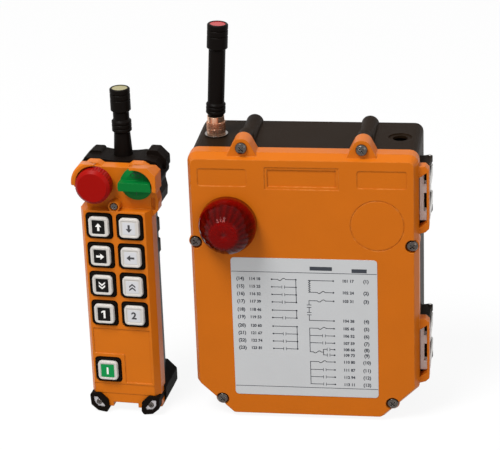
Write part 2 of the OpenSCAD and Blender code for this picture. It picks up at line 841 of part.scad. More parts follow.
module antenna_socket() color("silver") at_socket(0) difference() {
    union() {
        translate([0, 0, base_top]) cylinder(h = socket_flange_h, r = socket_flange_r);
        translate([0, 0, base_top - socket_body_l]) cylinder(h = socket_body_l, r = socket_body_r);
        translate([0, 0, base_top - rx_wall - base_inset - socket_nut_h])
            hex_nut(socket_nut_af, socket_nut_h);
        translate([0, 0, socket_face_z]) cylinder(h = socket_post_h, r = socket_post_r);
    }
    translate([0, 0, socket_face_z + socket_post_h / 2])
        cylinder(h = socket_post_h, r = socket_post_r / 2);
}

module receiver_antenna_sleeve() color("tan") at_socket(sleeve_z) difference() {
    union() {
        cylinder(h = sleeve_h, r = sleeve_r);
        cylinder(h = sleeve_grip_h, r = sleeve_grip_r);
    }
    translate([0, 0, -over]) cylinder(h = socket_post_h + over, r = sleeve_bore_r);
    for (i = [0:knurl_count - 1]) rotate([0, 0, i * 360 / knurl_count])
        translate([sleeve_grip_r, 0, -over])
        cylinder(h = sleeve_grip_h - over, r = knurl_r);
}

// A turned whip: foot collar, plain stem and a ringed head with a dished top
function grooves(r, zs) = [for (z = zs) each [[r, z - whip_groove_r], [r - whip_groove_r, z],
    [r, z + whip_groove_r]]];
function head_line(r, head_r, len, head_h) =
    concat([[r, len - head_h - whip_step], [head_r, len - head_h]],
           grooves(head_r, [len - 0.5 * head_h, len - 0.25 * head_h]),
           [[head_r, len - whip_step / 2], [head_r - whip_step / 2, len],
            [whip_dish_r, len], [whip_dish_r, len - whip_dish_d], [0, len - whip_dish_d]]);

module receiver_antenna_whip() color("#141414") at_socket(rx_whip_z) difference() {
    rotate([0, whip_lean, 0]) rotate_extrude() whip_section();
    translate([0, 0, -2 * whip_step]) cylinder(h = 2 * whip_step, r = whip_top_r);
}
module whip_section()
    polygon(concat([[0, -whip_step], [whip_r - whip_step / 3, -whip_step],
        [whip_r - whip_step / 3, whip_step / 2],
                    [whip_r, whip_step], [whip_collar_r, 2 * whip_step]],
                   grooves(whip_collar_r, [0.45 * whip_collar_h, 0.72 * whip_collar_h]),
                   [[whip_collar_r, whip_collar_h - whip_step], [whip_r, whip_collar_h]],
                   head_line(whip_r, whip_top_r, rx_whip_l, whip_top_h)));

module receiver_antenna_cap() color("red") at_socket(rx_whip_z) rotate([0, whip_lean, 0])
    translate([0, 0, rx_whip_l - whip_dish_d]) cylinder(h = whip_dish_d * 0.7,
        r = whip_dish_r - slip_gap);

// Inside the receiver
function spacer_xs() = [-board_w / 2 + spacer_inset, board_w / 2 - spacer_inset];
function spacer_zs() = [board_z + spacer_inset, board_z + board_h - spacer_inset];
function buffer_xs() = [-buffer_pitch_x / 2, buffer_pitch_x / 2];
function buffer_zs() = [buffer_z, buffer_z + buffer_pitch_z];

module relay_board() color("darkgreen") in_receiver() difference() {
    block(-board_w / 2, board_w / 2, board_front_y, board_front_y + board_t, board_z, board_z + board_h);
    for (x = spacer_xs(), z = spacer_zs()) bar_y(x, z, board_front_y - over,
        board_front_y + board_t + over, board_screw_r);
}

// Each spacer is threaded into a post of the base and holds the board with its screw head
module board_spacers() color("silver") in_receiver() for (x = spacer_xs(), z = spacer_zs()) {
    bar_y(x, z, board_front_y + board_t, board_front_y + board_t + spacer_l, spacer_r);
    bar_y(x, z, board_front_y, base_floor_y, board_screw_r);
    bar_y(x, z, board_front_y - cross_d, board_front_y, spacer_r);
}

module relays() color("royalblue") in_receiver()
    for (col = [0:relay_cols - 1], row = [0:relay_rows - 1])
        translate([(col - (relay_cols - 1) / 2) * relay_pitch_x, board_front_y,
            relay_z + row * relay_pitch_z]) {
            translate([-relay_w / 2, -relay_d, -relay_h / 2])
                cube([relay_w, relay_d - relay_base_t, relay_h]);
            translate([-relay_w / 2 - relay_base_t, -relay_base_t, -relay_h / 2 - relay_base_t])
                cube([relay_w + 2 * relay_base_t, relay_base_t, relay_h + 2 * relay_base_t]);
        }

module terminal_blocks() color("seagreen") in_receiver() for (side = [0, 1]) {
    ways = terminal_ways[side];
    x = (2 * side - 1) * terminal_x;
    difference() {
        block(x - terminal_w / 2, x + terminal_w / 2, board_front_y - terminal_d, board_front_y,
              terminal_z, terminal_z + ways * way_pitch);
        for (i = [0:ways - 1]) bar_y(x, terminal_z + (i + 0.5) * way_pitch,
            board_front_y - terminal_d - over,
                                     board_front_y - terminal_d + terminal_screw_d, terminal_screw_r);
    }
}

module transformer() color("slategray") in_receiver() {
    block(coil_x - coil_w / 2, coil_x + coil_w / 2, board_front_y - coil_d, board_front_y,
          coil_z - coil_h / 2, coil_z + coil_h / 2);
    block(coil_x - core_w / 2, coil_x + core_w / 2, board_front_y - core_d, board_front_y,
          coil_z - core_h / 2, coil_z + core_h / 2);
}

module fuse_holders() color("#d9d4c4") in_receiver() for (i = [0:fuse_count - 1]) {
    x = (i - (fuse_count - 1) / 2) * fuse_pitch;
    for (end = [-1, 1]) block(x - fuse_w / 2, x + fuse_w / 2, board_front_y - fuse_d, board_front_y,
                              fuse_z + end * fuse_h / 3 - fuse_h / 6,
                                  fuse_z + end * fuse_h / 3 + fuse_h / 6);
    translate([x, board_front_y - fuse_d / 2, fuse_z - fuse_h / 6 - over])
        cylinder(h = fuse_h / 3 + 2 * over, r = fuse_tube_r);
}

module capacitors() color("#203040") in_receiver() for (end = [-0.5, 0.5])
    bar_y(cap_x, cap_z + end * cap_pitch, board_front_y - cap_l, board_front_y, cap_r);

module radio_module() color("teal") in_receiver() {
    block(radio_x - radio_w / 2, radio_x + radio_w / 2, radio_front_y, radio_front_y + radio_t,
          radio_z - radio_h / 2, radio_z + radio_h / 2);
    block(radio_x + radio_w / 2 - radio_can_w - radio_t, radio_x + radio_w / 2 - radio_t,
        radio_front_y - radio_can_d, radio_front_y,
          radio_z - radio_can_h / 2, radio_z + radio_can_h / 2);
    block(radio_x - header_w / 2, radio_x + header_w / 2, radio_front_y + radio_t, board_front_y,
          radio_z - radio_h / 2, radio_z - radio_h / 2 + header_h);
}

// The lead from the socket down to the radio module, bent once
module antenna_coax() color("#202020") in_receiver() {
    drop_top = base_top - socket_body_l;
    bend_z = radio_z + radio_h / 2 - coax_fitting_r - radio_t + coax_bend;
    translate([-socket_x, socket_y, bend_z]) cylinder(h = drop_top - bend_z, r = coax_r);
    translate([-socket_x, socket_y, drop_top - coax_fitting_l])
        cylinder(h = coax_fitting_l, r = coax_fitting_r);
    translate([-socket_x, socket_y + coax_bend, bend_z]) rotate([90, 0, 90]) rotate([0, 0, 180])
        rotate_extrude(angle = 90) translate([coax_bend, 0]) circle(coax_r);
    bar_y(-socket_x, bend_z - coax_bend, socket_y + coax_bend, radio_front_y, coax_r);
    bar_y(-socket_x, bend_z - coax_bend, radio_front_y - coax_fitting_l, radio_front_y, coax_fitting_r);
}

module rubber_buffers() color("#161616") in_receiver() for (x = buffer_xs(), z = buffer_zs())
    difference() {
    bar_y(x, z, rx_d, rx_d + buffer_l, buffer_r);
    bar_y(x, z, rx_d - over, rx_d + buffer_l + over, stud_bush_r);
}

// Steel bushes through the buffers, each with a stud behind a relief
module buffer_studs() color("silver") in_receiver() for (x = buffer_xs(), z = buffer_zs()) {
    bar_y(x, z, base_floor_y, rx_d + hair, stud_root_r);
    bar_y(x, z, rx_d, rx_d + buffer_l, stud_bush_r);
    bar_y(x, z, rx_d + buffer_l - hair, rx_d + buffer_l + stud_neck_l + hair, stud_root_r);
    bar_y(x, z, rx_d + buffer_l + stud_neck_l, rx_d + buffer_l + stud_l, stud_r);
}

// Handset outlines
function head_points(w, grow = 0) = [for (s = head_shares) [s[0] * w / 2,
    head_z + s[1] * (head_h + grow)]];
// Front shell across the grip: flat face, slanted edges, straight sides
function front_points(inset) = [[-hs_w / 2 + inset, split_y + over], [-hs_w / 2 + inset, bevel_d],
    [-face_w / 2 + inset * 0.7, inset],
    [face_w / 2 - inset * 0.7, inset], [hs_w / 2 - inset, bevel_d], [hs_w / 2 - inset, split_y + over]];
function rear_points(inset) = [[-hs_w / 2 + inset, split_y - over], [hs_w / 2 - inset, split_y - over],
    [hs_w / 2 - inset, split_y + 2 * inset],
    [hs_w / 2 - rear_taper - inset, back_y - inset], [-hs_w / 2 + rear_taper + inset, back_y - inset],
        [-hs_w / 2 + inset, split_y + 2 * inset]];
module front_half() intersection() {
    children();
    block(-hs_w, hs_w, guard_front_y, split_y, 0, hs_top + hs_h);
}
module rear_half() intersection() {
    children();
    block(-hs_w, hs_w, split_y, back_y + hs_h, 0, hs_top + hs_h);
}

// Outer form of the front shell without its guards
module front_envelope() {
    front_half() prism(hs_foot_z, grip_top) polygon(front_points(0));
    slab(head_front_y, split_y) polygon(head_points(head_w));
}
module rear_envelope() {
    rear_half() prism(hs_foot_z, grip_top) polygon(rear_points(0));
    slab(split_y, back_y) polygon(head_points(head_back_w));
}
module head_room(y0, y1, w) slab(y0, y1) intersection() {
    polygon(head_points(w - 2 * hs_wall));
    translate([-head_w / 2, 0]) square([head_w, hs_top - hs_wall]);
}

// A wall that stands round the outer side of a knob, cut back along the top
module guard(x, r, bore_r, from, turn, front = guard_front_y) difference() {
    translate([x, 0, knob_z]) rotate([-90, 0, 0]) mirror([0, 1, 0]) rotate([0, 0, from])
        rotate_extrude(angle = turn)
        polygon([[bore_r, front], [r - guard_edge, front], [r, front + guard_edge],
            [r, guard_root_y], [bore_r, guard_root_y]]);
    translate([-head_w, front, guard_slope_z]) rotate([-guard_slope, 0, 0])
        translate([0, -head_w, 0]) cube([2 * head_w, 2 * head_w, head_w]);
}

// The rotary guard ends flush with the head's side and has its upper corner cut off
module rotary_guard_bound() {
    x = head_w / 2 + rotary_guard_out;
    z = hs_top + rotary_guard_up;
    polygon([[0, head_z], [x, head_z], [x, z - rotary_guard_cut], [x - rotary_guard_cut, z], [0, z]]);
}

function key_place(i) = i < 2 * row_count
    ? [(i % 2 - 0.5) * key_pitch_x, first_row_z - floor(i / 2) * key_pitch_z]
    : [-key_pitch_x / 2, first_row_z - start_row * key_pitch_z];
key_count = 2 * row_count + 1;
empty_row_z = first_row_z - row_count * key_pitch_z;
module at_key(i) translate([key_place(i)[0], 0, key_place(i)[1]]) children();
module key_hole_outline(grow = 0) soft_rect(key_hole_w + 2 * grow, key_hole_h + 2 * grow,
    key_hole_r + grow);

module handset_front_shell() color("darkorange") in_handset() difference() {
    union() {
        difference() {
            front_envelope();
            prism(hs_foot_z + hs_wall, grip_top - ledge_t) polygon(front_points(hs_wall));
            head_room(head_front_y + hs_wall, split_y + over, head_w);
        }
        intersection() {
            guard(rotary_x, rotary_guard_r, rotary_r + guard_bore_gap, rotary_guard_from, rotary_guard_turn);
            slab(guard_front_y - over, guard_root_y + over) rotary_guard_bound();
        }
        mirror([1, 0, 0]) guard(-stop_x, stop_guard_r, stop_r + guard_bore_gap, stop_guard_from,
            stop_guard_turn, guard_front_y + stop_guard_back);
        for (shares = [stop_hump_shares, rotary_hump_shares]) slab(hump_front_y, split_y)
            polygon(soft([for (s = shares) [s[0] * head_w / 2, hs_top + s[1] * hump_rise]],
                [hump_root_r, hump_r, hump_r, hump_root_r]));
        bar_y(0, mid_screw_z, mid_boss_front_y, split_y, mid_screw_boss_r);
        for (side = [-1, 1]) bar_y(side * pad_x, pad_z, 0, split_y, shell_screw_head_r);
        for (x = [-board_post_x, board_post_x], z = [-board_post_z, board_post_z])
            bar_y(x, empty_row_z + z, hs_wall, switch_back_y, board_post_r);
    }
    for (x = [stop_x, rotary_x]) bar_y(x, knob_z, guard_front_y - over, head_front_y + 2 * hs_wall,
        knob_hole_r);
    for (i = [0:key_count - 1]) at_key(i) slab(-over, hs_wall + over) key_hole_outline();
    bar_y(0, mid_screw_z, mid_boss_front_y - over, mid_boss_front_y + shell_screw_head_h,
        mid_screw_recess_r);
    bar_y(0, mid_screw_z, mid_boss_front_y, split_y + over, shell_screw_r);
    for (side = [-1, 1]) bar_y(side * pad_x, pad_z, -over, split_y + over, shell_screw_r);
    blank_panel();
    for (z = step_zs) block(-face_w / 2, face_w / 2, -over, step_d * (1.4 - z / step_zs[0]),
        hs_foot_z - over, hs_foot_z + z);
    block(-notch_w / 2, notch_w / 2, -over, split_y + over, hs_foot_z - over, hs_foot_z + notch_h);
    side_slot();
    slab(split_y - shell_seal_d, split_y + over) seal_outline();
}

// The shallow field under the last buttons: the empty row and the place beside the start button
module blank_panel() {
    field_w = key_pitch_x + key_hole_w;
    block(-field_w / 2, field_w / 2, -over, blank_panel_d, empty_row_z - key_hole_h / 2,
        empty_row_z + key_hole_h / 2);
    block(field_w / 2 - key_hole_w, field_w / 2, -over, blank_panel_d,
        empty_row_z - key_hole_h / 2 - key_pitch_z, empty_row_z);
}

module side_slot() both_sides() translate([head_w / 2 - slot_in, 0, hs_top - slot_drop])
    slab(head_front_y - over, head_front_y + slot_d) soft_rect(slot_w, slot_h, slot_w / 3);

// Outline where the shells meet, moved in by a margin
module shell_line(inset) {
    translate([-hs_w / 2 + inset, hs_foot_z + inset]) square([hs_w - 2 * inset,
        grip_top - hs_foot_z - 2 * inset]);
    intersection() {
        polygon(head_points(head_back_w - 2 * inset));
        translate([-head_w / 2, 0]) square([head_w, hs_top - inset]);
    }
}
module seal_outline() difference() {
    shell_line(seal_edge);
    shell_line(seal_edge + shell_seal_w);
    translate([-notch_w / 2 - seal_edge, 0]) square([notch_w + 2 * seal_edge,
        hs_foot_z + notch_h + seal_edge]);
}
module shell_seal() color("#181818") in_handset() slab(split_y - shell_seal_d, split_y) seal_outline();

door_pin_z = door_z + door_h + door_pin_rise;
door_pin_y = back_y + door_knuckle_r / 2;

module handset_rear_shell() color("#1d1b1a") in_handset() difference() {
    union() {
        difference() {
            union() {
                rear_envelope();
                both_sides() for (i = [0, 1]) side_rib(hs_top - rib_drop - i * rib_pitch);
            }
            prism(hs_foot_z + hs_wall, grip_top - ledge_t) polygon(rear_points(hs_wall));
            head_room(split_y - over, back_y - hs_wall, head_back_w);
            translate([0, 0, door_z + door_h / 2]) slab(back_y - 2 * hs_wall, back_y + over)
                square([door_w + 2 * fit_gap, door_h + 2 * fit_gap], center = true);
        }
        translate([0, 0, door_z + door_h / 2]) slab(back_y - 2 * hs_wall, back_y - door_t - door_seat_gap)
            square([door_w + 2 * hs_wall, door_h + 2 * hs_wall], center = true);
        translate([0, 0, cell_z + cell_l]) slab(bay_front_y, back_y - door_t - door_seat_gap)
            square([bay_w + 2 * bay_wall, bay_h + 2 * bay_wall], center = true);
        bar_y(0, door_z + door_screw_rise, back_y - door_boss_l, back_y - door_t - door_seat_gap,
            door_boss_r);
        for (end = [-1, 1]) door_ear(end);
        for (side = [-1, 1]) bar_y(side * pad_x, pad_z, split_y, split_y + shell_screw_l + hs_wall,
            shell_screw_head_r);
        bar_y(0, mid_screw_z, split_y, back_y - hs_wall, shell_screw_head_r);
        translate([0, stub_y, hs_top - 2 * hs_wall]) cylinder(h = 2 * hs_wall,
            r = stub_foot_r + slip_gap + bay_wall);
    }
    translate([0, 0, cell_z + cell_l]) slab(bay_front_y + bay_wall, back_y + over)
        square([bay_w, bay_h], center = true);
    bar_y(0, door_z + door_screw_rise, back_y - door_boss_l / 2, back_y, door_screw_r);
    bar_x(door_pin_y, door_pin_z, -door_knuckle_w / 2 - fit_gap, door_knuckle_w / 2 + fit_gap,
        door_knuckle_r + fit_gap);
    translate([0, stub_y, hs_top - stub_seat]) cylinder(h = stub_seat + over, r = stub_foot_r);
    bar_x(door_pin_y, door_pin_z, -door_w, door_w, door_pin_r);
    for (side = [-1, 1]) bar_y(side * pad_x, pad_z, split_y - over, split_y + shell_screw_l,
        shell_screw_r);
    bar_y(0, mid_screw_z, split_y - over, split_y + shell_screw_l, shell_screw_r);
}

// A finger rest: a low pad on the grip's side with slanted ends
module side_rib(z) slab(rib_y0, rib_y0 + rib_l) polygon([[hs_w / 2 - rear_taper, z - rib_h / 2],
    [hs_w / 2 - rib_in, z - rib_h * rib_share], [hs_w / 2 - rib_in, z + rib_h * rib_share],
        [hs_w / 2 - rear_taper, z + rib_h / 2]]);

module door_ear(end) {
    inner = door_knuckle_w / 2 + fit_gap;
    x0 = end > 0 ? inner : -inner - door_ear_w;
    bar_x(door_pin_y, door_pin_z, x0, x0 + door_ear_w, door_knuckle_r);
    block(x0, x0 + door_ear_w, back_y - hs_wall, door_pin_y, door_pin_z, door_pin_z + door_knuckle_r);
}

module battery_door() color("#201e1d") in_handset() difference() {
    union() {
        translate([0, 0, door_z + door_h / 2]) slab(back_y - door_t, back_y)
            square([door_w, door_h], center = true);
        bar_x(door_pin_y, door_pin_z, -door_knuckle_w / 2, door_knuckle_w / 2, door_knuckle_r);
        block(-door_knuckle_w / 2, door_knuckle_w / 2, back_y - over, door_pin_y + door_knuckle_r / 2,
              door_z + door_h - door_lip, door_z + door_h);
        block(-door_knuckle_w / 2, door_knuckle_w / 2, back_y + door_seat_gap,
            door_pin_y + door_knuckle_r / 2,
              door_z + door_h - door_lip, door_pin_z);
    }
    bar_x(door_pin_y, door_pin_z, -door_w, door_w, door_pin_r + slip_gap);
    bar_y(0, door_z + door_screw_rise, back_y - door_t - over, back_y + over, door_screw_r);
}

module battery_door_pin() color("silver") in_handset()
    bar_x(door_pin_y, door_pin_z, -door_knuckle_w / 2 - fit_gap - door_ear_w,
        door_knuckle_w / 2 + fit_gap + door_ear_w, door_pin_r);

module battery_door_screw() color("silver") in_handset() {
    bar_y(0, door_z + door_screw_rise, back_y - door_t, back_y, door_screw_r);
    difference() {
        bar_y(0, door_z + door_screw_rise, back_y, back_y + door_screw_head_h, door_screw_head_r);
        translate([-door_screw_head_r, back_y + door_screw_head_h / 2,
            door_z + door_screw_rise - cross_w / 2])
            cube([2 * door_screw_head_r, door_screw_head_h, cross_w]);
    }
}

module battery_cells() color("#6f7f3a") in_handset() for (col = [-1, 1], row = [0, 1])
    translate([col * cell_r, cell_y, cell_z + row * cell_l]) translate([0, 0, -cell_l / 2]) {
        translate([0, 0, cell_l / 2]) cylinder(h = cell_l - cell_tip_l, r = cell_r);
        translate([0, 0, cell_l / 2 + cell_l - cell_tip_l]) cylinder(h = cell_tip_l, r = cell_tip_r);
    }

// Sprung plates at both ends of the battery bay
module battery_contacts() color("silver") in_handset() for (col = [-1, 1], end = [0, 1]) {
    z = end ? cell_z + 2 * cell_l : cell_z - contact_t;
    block(col * cell_r - contact_w / 2, col * cell_r + contact_w / 2, bay_front_y + bay_wall,
        cell_y + cell_r, z, z + contact_t);
}

// Rubber guard round the head, with two ears behind the antenna
module top_bumper() color("#151413") in_handset() difference() {
    union() {
        slab(bumper_y0, back_y) difference() {
            intersection() {
                polygon(head_points(head_back_w + 2 * bumper_t, bumper_t));
                translate([-head_w, hs_top - bumper_h + bumper_t]) square([2 * head_w, head_w]);
            }
            translate([0, hs_top + bumper_t + saddle_r - saddle_d]) circle(saddle_r);
        }
        slab(ear_y0, back_y) polygon(soft(ear_points(ear_in, ear_out, ear_up), ear_edge_r));
        mirror([1, 0, 0]) slab(ear_y0, back_y) polygon(soft(ear_points(left_ear_in, left_ear_out,
            left_ear_up), ear_edge_r));
    }
    slab(split_y, back_y + over) polygon(head_points(head_back_w));
    translate([0, stub_y, hs_top - stub_seat]) cylinder(h = hs_h, r = stub_foot_r + slip_gap);
    translate([0, stub_y, hs_top - stub_seat]) cylinder(h = bumper_t * 3, r = stub_foot_r + slip_gap);
}
function ear_points(x0, x1, rise) = [[x0, hs_top - bumper_t], [x1 - 2 * bumper_t, hs_top - ear_drop],
    [x1, hs_top - ear_drop],
    [x1, hs_top + rise - ear_cut], [x1 - ear_cut, hs_top + rise], [x0, hs_top + rise]];

// Rubber feet: two front pads with seats for the washers, and corner blocks behind them
module bottom_bumper() color("#151413") in_handset() difference() {
    union() {
        both_sides() {
            translate([-pad_x, 0, pad_z]) slab(pad_front_y, pad_y1)
                polygon(soft(pad_shares * pad_w, pad_edge_r));
            slab(corner_y0, rear_bump_y) polygon(soft(corner_points(), corner_edge_r));
        }
        block(-corner_in_x - over, corner_in_x + over, back_y - rear_d / 2, back_y, 0, hs_foot_z + over);
    }
    front_envelope();
    rear_envelope();
    both_sides() {
        bar_y(pad_x, pad_z, pad_front_y - over, split_y, shell_screw_r);
        bar_y(pad_x, pad_z, pad_front_y - over, washer_front_y + over, foot_screw_head_r + slip_gap);
        translate([-pad_x, 0, pad_z]) slab(pad_front_y - over, washer_front_y + washer_t)
            polygon(soft(washer_shares * washer_w, washer_edge_r));
    }
    translate([0, 0, hs_foot_z]) block(-hs_w, hs_w, -rx_d, rear_bump_y * 2, -2 * hs_foot_z, -hs_foot_z);
}
function corner_points() = [[corner_in_x, 0], [corner_out_x - corner_cut / 2, 0],
    [corner_out_x, corner_cut], [corner_out_x, corner_h - corner_cut],
    [corner_out_x - corner_cut, corner_h], [corner_in_x, corner_h]];

module foot_washers() color("rosybrown") in_handset() both_sides() difference() {
    translate([-pad_x, 0, pad_z]) slab(washer_front_y, washer_front_y + washer_t)
        polygon(soft(washer_shares * washer_w, washer_edge_r));
    bar_y(-pad_x, pad_z, washer_front_y - over, over, shell_screw_r);
}

module shell_screws() color("gray") in_handset() {
    pan_screw(0, mid_screw_z, mid_boss_front_y + shell_screw_head_h,
        split_y + shell_screw_l - mid_boss_front_y - shell_screw_head_h,
              shell_screw_r, shell_screw_head_r, shell_screw_head_h);
    for (side = [-1, 1]) pan_screw(side * pad_x, pad_z, washer_front_y,
        split_y + shell_screw_l - washer_front_y,
                                   shell_screw_r, foot_screw_head_r, shell_screw_head_h / 2);
}

// Handset antenna
module handset_antenna() color("#141414") in_handset() translate([0, stub_y, hs_top - stub_seat])
    rotate_extrude()
    polygon(concat([[0, 0], [stub_foot_r, 0], [stub_foot_r, stub_seat], [stub_r, stub_ring_z - whip_step],
        [stub_ring_r, stub_ring_z]],
                   grooves(stub_ring_r, [stub_ring_z + 0.25 * stub_ring_h,
                       stub_ring_z + 0.6 * stub_ring_h]),
                   [[stub_ring_r, stub_ring_z + stub_ring_h - whip_step],
                       [stub_r, stub_ring_z + stub_ring_h]],
                   head_line(stub_r, stub_top_r, hs_whip_l, stub_top_h)));

module handset_antenna_cap() color("khaki") in_handset()
    translate([0, stub_y, hs_top - stub_seat + hs_whip_l - whip_dish_d])
        cylinder(h = whip_dish_d * 0.7, r = whip_dish_r - slip_gap);

// Stop button
module stop_cap() color("red") in_handset() translate([stop_x, 0, knob_z]) difference() {
    intersection() {
        rotate([-90, 0, 0]) rotate_extrude()
            polygon([[0, stop_front_y], [stop_r - stop_bevel, stop_front_y],
                [stop_r, stop_front_y + stop_bevel],
                     [stop_r, stop_front_y + stop_cap_h - stop_bevel / 2],
                         [stop_r - stop_bevel / 2, stop_front_y + stop_cap_h],
                     [0, stop_front_y + stop_cap_h]]);
        slab(stop_front_y - over, stop_front_y + stop_cap_h + over)
            polygon([for (i = [0:2 * stop_ridges - 1])
            (stop_r + over - (i % 2) * stop_ridge_r) * [cos(180 * i / stop_ridges),
                sin(180 * i / stop_ridges)]]);
    }
    bar_y(0, 0, stop_front_y + stop_cap_h / 2 - stem_end_gap, stop_front_y + stop_cap_h + over,
        stem_tip_r + slip_gap);
}

module stop_stem() color("#7a1010") in_handset() {
    bar_y(stop_x, knob_z, stop_front_y + stop_cap_h / 2, stem_back_y, stem_tip_r);
    bar_y(stop_x, knob_z, stop_front_y + stop_cap_h + stem_end_gap, stem_back_y, stop_stem_r);
}

module switch_block(x) {
    back = switch_block_y + switch_block_l;
    difference() {
        block(x - switch_block_w / 2, x + switch_block_w / 2, switch_block_y, back,
            knob_z - switch_block_w / 2, hs_top - hs_wall - fit_gap);
        bar_y(x, knob_z, switch_block_y - over, back - hs_wall / 2, stop_stem_r + slip_gap);
    }
}
module stop_block() color("#e0dcc8") in_handset() switch_block(stop_x);
module rotary_block() color("#2c4a33") in_handset() switch_block(rotary_x);

module rotary_knob() color("green") in_handset() translate([rotary_x, 0, knob_z]) {
    rotate([-90, 0, 0]) rotate_extrude()
        polygon([[0, rotary_front_y - rotary_rise], [rotary_r * 0.7, rotary_front_y - rotary_rise],
                 [rotary_r, rotary_front_y], [rotary_r, rotary_base_y], [0, rotary_base_y]]);
    intersection() {
        block(-rotary_r, rotary_r, rotary_front_y - rotary_bar_h, rotary_front_y, -rotary_bar_w / 2,
            rotary_bar_w / 2);
        bar_y(0, 0, rotary_front_y - rotary_bar_h - over, rotary_front_y + over, rotary_r);
    }
    bar_y(0, 0, rotary_base_y - over, stem_back_y, rotary_shaft_r);
}

// Buttons
module cap_outline(shrink = 0) soft_rect(cap_side - 2 * shrink, cap_side - 2 * shrink,
    cap_corner_r - shrink);

module button(i) in_handset() at_key(i) {
    difference() {
        union() {
            slab(cap_front_y + cap_edge, cap_back_y) cap_outline();
            slab(cap_front_y, cap_front_y + cap_edge + hair) cap_outline(cap_edge / 2);
        }
        slab(cap_front_y - over, cap_front_y + cap_dish_d) square(cap_label_side, center = true);
    }
    bar_y(0, 0, cap_back_y - over, cap_back_y + plunger_l, plunger_r);
}

module button_boots() color("#161312") in_handset() difference() {
    union() {
        for (i = [0:key_count - 1]) at_key(i) {
            slab(boot_front_y, boot_back_y) key_hole_outline(-boot_fit);
            slab(boot_rise_y, boot_front_y + over) key_hole_outline(-boot_step);
        }
        intersection() {
            for (i = [0:key_count - 1]) at_key(i)
                slab(hs_wall, hs_wall + boot_flange_t) key_hole_outline(boot_flange);
            prism(0, grip_top - ledge_t) polygon(front_points(hs_wall));
        }
    }
    for (i = [0:key_count - 1]) at_key(i) slab(boot_rise_y - over, boot_back_y + over) cap_outline(-boot_gap);
}

module key_switches() color("#303338") in_handset() for (i = [0:key_count - 1]) at_key(i) difference() {
    slab(switch_front_y, switch_back_y) square(switch_side, center = true);
    bar_y(0, 0, switch_front_y - over, switch_front_y + switch_bore_d, plunger_r + slip_gap);
}

module handset_board() color("darkgreen") in_handset() {
    block(-hs_board_w / 2, hs_board_w / 2, switch_back_y, switch_back_y + hs_board_t, hs_board_z,
        hs_board_z + hs_board_h);
    block(-chip_w / 2, chip_w / 2, switch_back_y - chip_t, switch_back_y, empty_row_z - chip_h / 2,
        empty_row_z + chip_h / 2);
}

receiver_base();
receiver_lid();
lid_gasket();
lid_screws();
lid_inserts();
hinge_links();
hinge_pins();
lamp_lens();
lamp_seal();
lamp_reflector();
lamp_board();
wiring_label();
antenna_socket();
receiver_antenna_sleeve();
receiver_antenna_whip();
receiver_antenna_cap();
relay_board();
board_spacers();
relays();
terminal_blocks();
transformer();
fuse_holders();
capacitors();
radio_module();
antenna_coax();
rubber_buffers();
buffer_studs();
handset_front_shell();
handset_rear_shell();
shell_seal();
top_bumper();
bottom_bumper();
foot_washers();
shell_screws();
handset_antenna();
handset_antenna_cap();
stop_cap();
stop_stem();
stop_block();
rotary_knob();
rotary_block();
button_boots();
for (i = [0:2 * row_count - 1]) color("white") button(i);
color("white") button(2 * row_count);  // button_start
handset_board();
key_switches();
battery_cells();
battery_contacts();
battery_door();
battery_door_pin();
battery_door_screw();
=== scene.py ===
import json
import math

import bmesh
import bpy
from mathutils import Matrix, Vector


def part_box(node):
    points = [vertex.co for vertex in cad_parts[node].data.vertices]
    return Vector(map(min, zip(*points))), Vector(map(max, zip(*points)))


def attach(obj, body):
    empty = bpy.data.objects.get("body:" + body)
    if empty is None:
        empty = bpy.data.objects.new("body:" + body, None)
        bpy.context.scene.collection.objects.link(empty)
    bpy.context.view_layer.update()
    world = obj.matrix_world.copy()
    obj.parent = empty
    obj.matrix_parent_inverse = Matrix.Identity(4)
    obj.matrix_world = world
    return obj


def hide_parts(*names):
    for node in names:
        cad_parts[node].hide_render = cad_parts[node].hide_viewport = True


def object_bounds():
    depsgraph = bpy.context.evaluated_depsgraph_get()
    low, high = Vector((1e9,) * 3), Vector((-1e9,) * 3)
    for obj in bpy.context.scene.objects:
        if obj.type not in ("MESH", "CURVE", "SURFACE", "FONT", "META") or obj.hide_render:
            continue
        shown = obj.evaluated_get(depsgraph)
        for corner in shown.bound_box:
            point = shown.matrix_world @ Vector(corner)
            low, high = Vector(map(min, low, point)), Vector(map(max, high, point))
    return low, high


bl_info = {
    "name": "Crane radio remote control",
    "version": (1, 0, 0),
    "blender": (4, 5, 0),
    "location": "3D View > Sidebar > Remote",
    "description": "Finishes and small pieces of a crane's radio receiver and its handset",
    "category": "Object",
}

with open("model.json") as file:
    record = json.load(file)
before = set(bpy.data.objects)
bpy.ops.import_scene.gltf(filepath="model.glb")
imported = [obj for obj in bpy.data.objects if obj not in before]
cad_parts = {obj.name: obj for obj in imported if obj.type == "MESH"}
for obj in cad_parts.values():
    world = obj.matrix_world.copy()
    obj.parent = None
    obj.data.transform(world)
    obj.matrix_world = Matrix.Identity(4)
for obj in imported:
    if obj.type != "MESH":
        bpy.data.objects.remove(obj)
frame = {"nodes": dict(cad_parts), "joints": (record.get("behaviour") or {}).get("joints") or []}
CAD_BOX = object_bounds()
NODES = frame["nodes"]
MM = 0.001
ORIGIN = Matrix.Identity(4)
KEYS = ("up", "down", "east", "west", "south", "north", "one", "two", "start")
CAP_RISE = 3.6  # how far a button's cap stands out of the handset, in millimetres


def box(node):
    """A node's lowest and highest corners, in millimetres."""
    return [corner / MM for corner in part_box(node)]


def middle(node):
    low, high = box(node)
    return (low + high) / 2


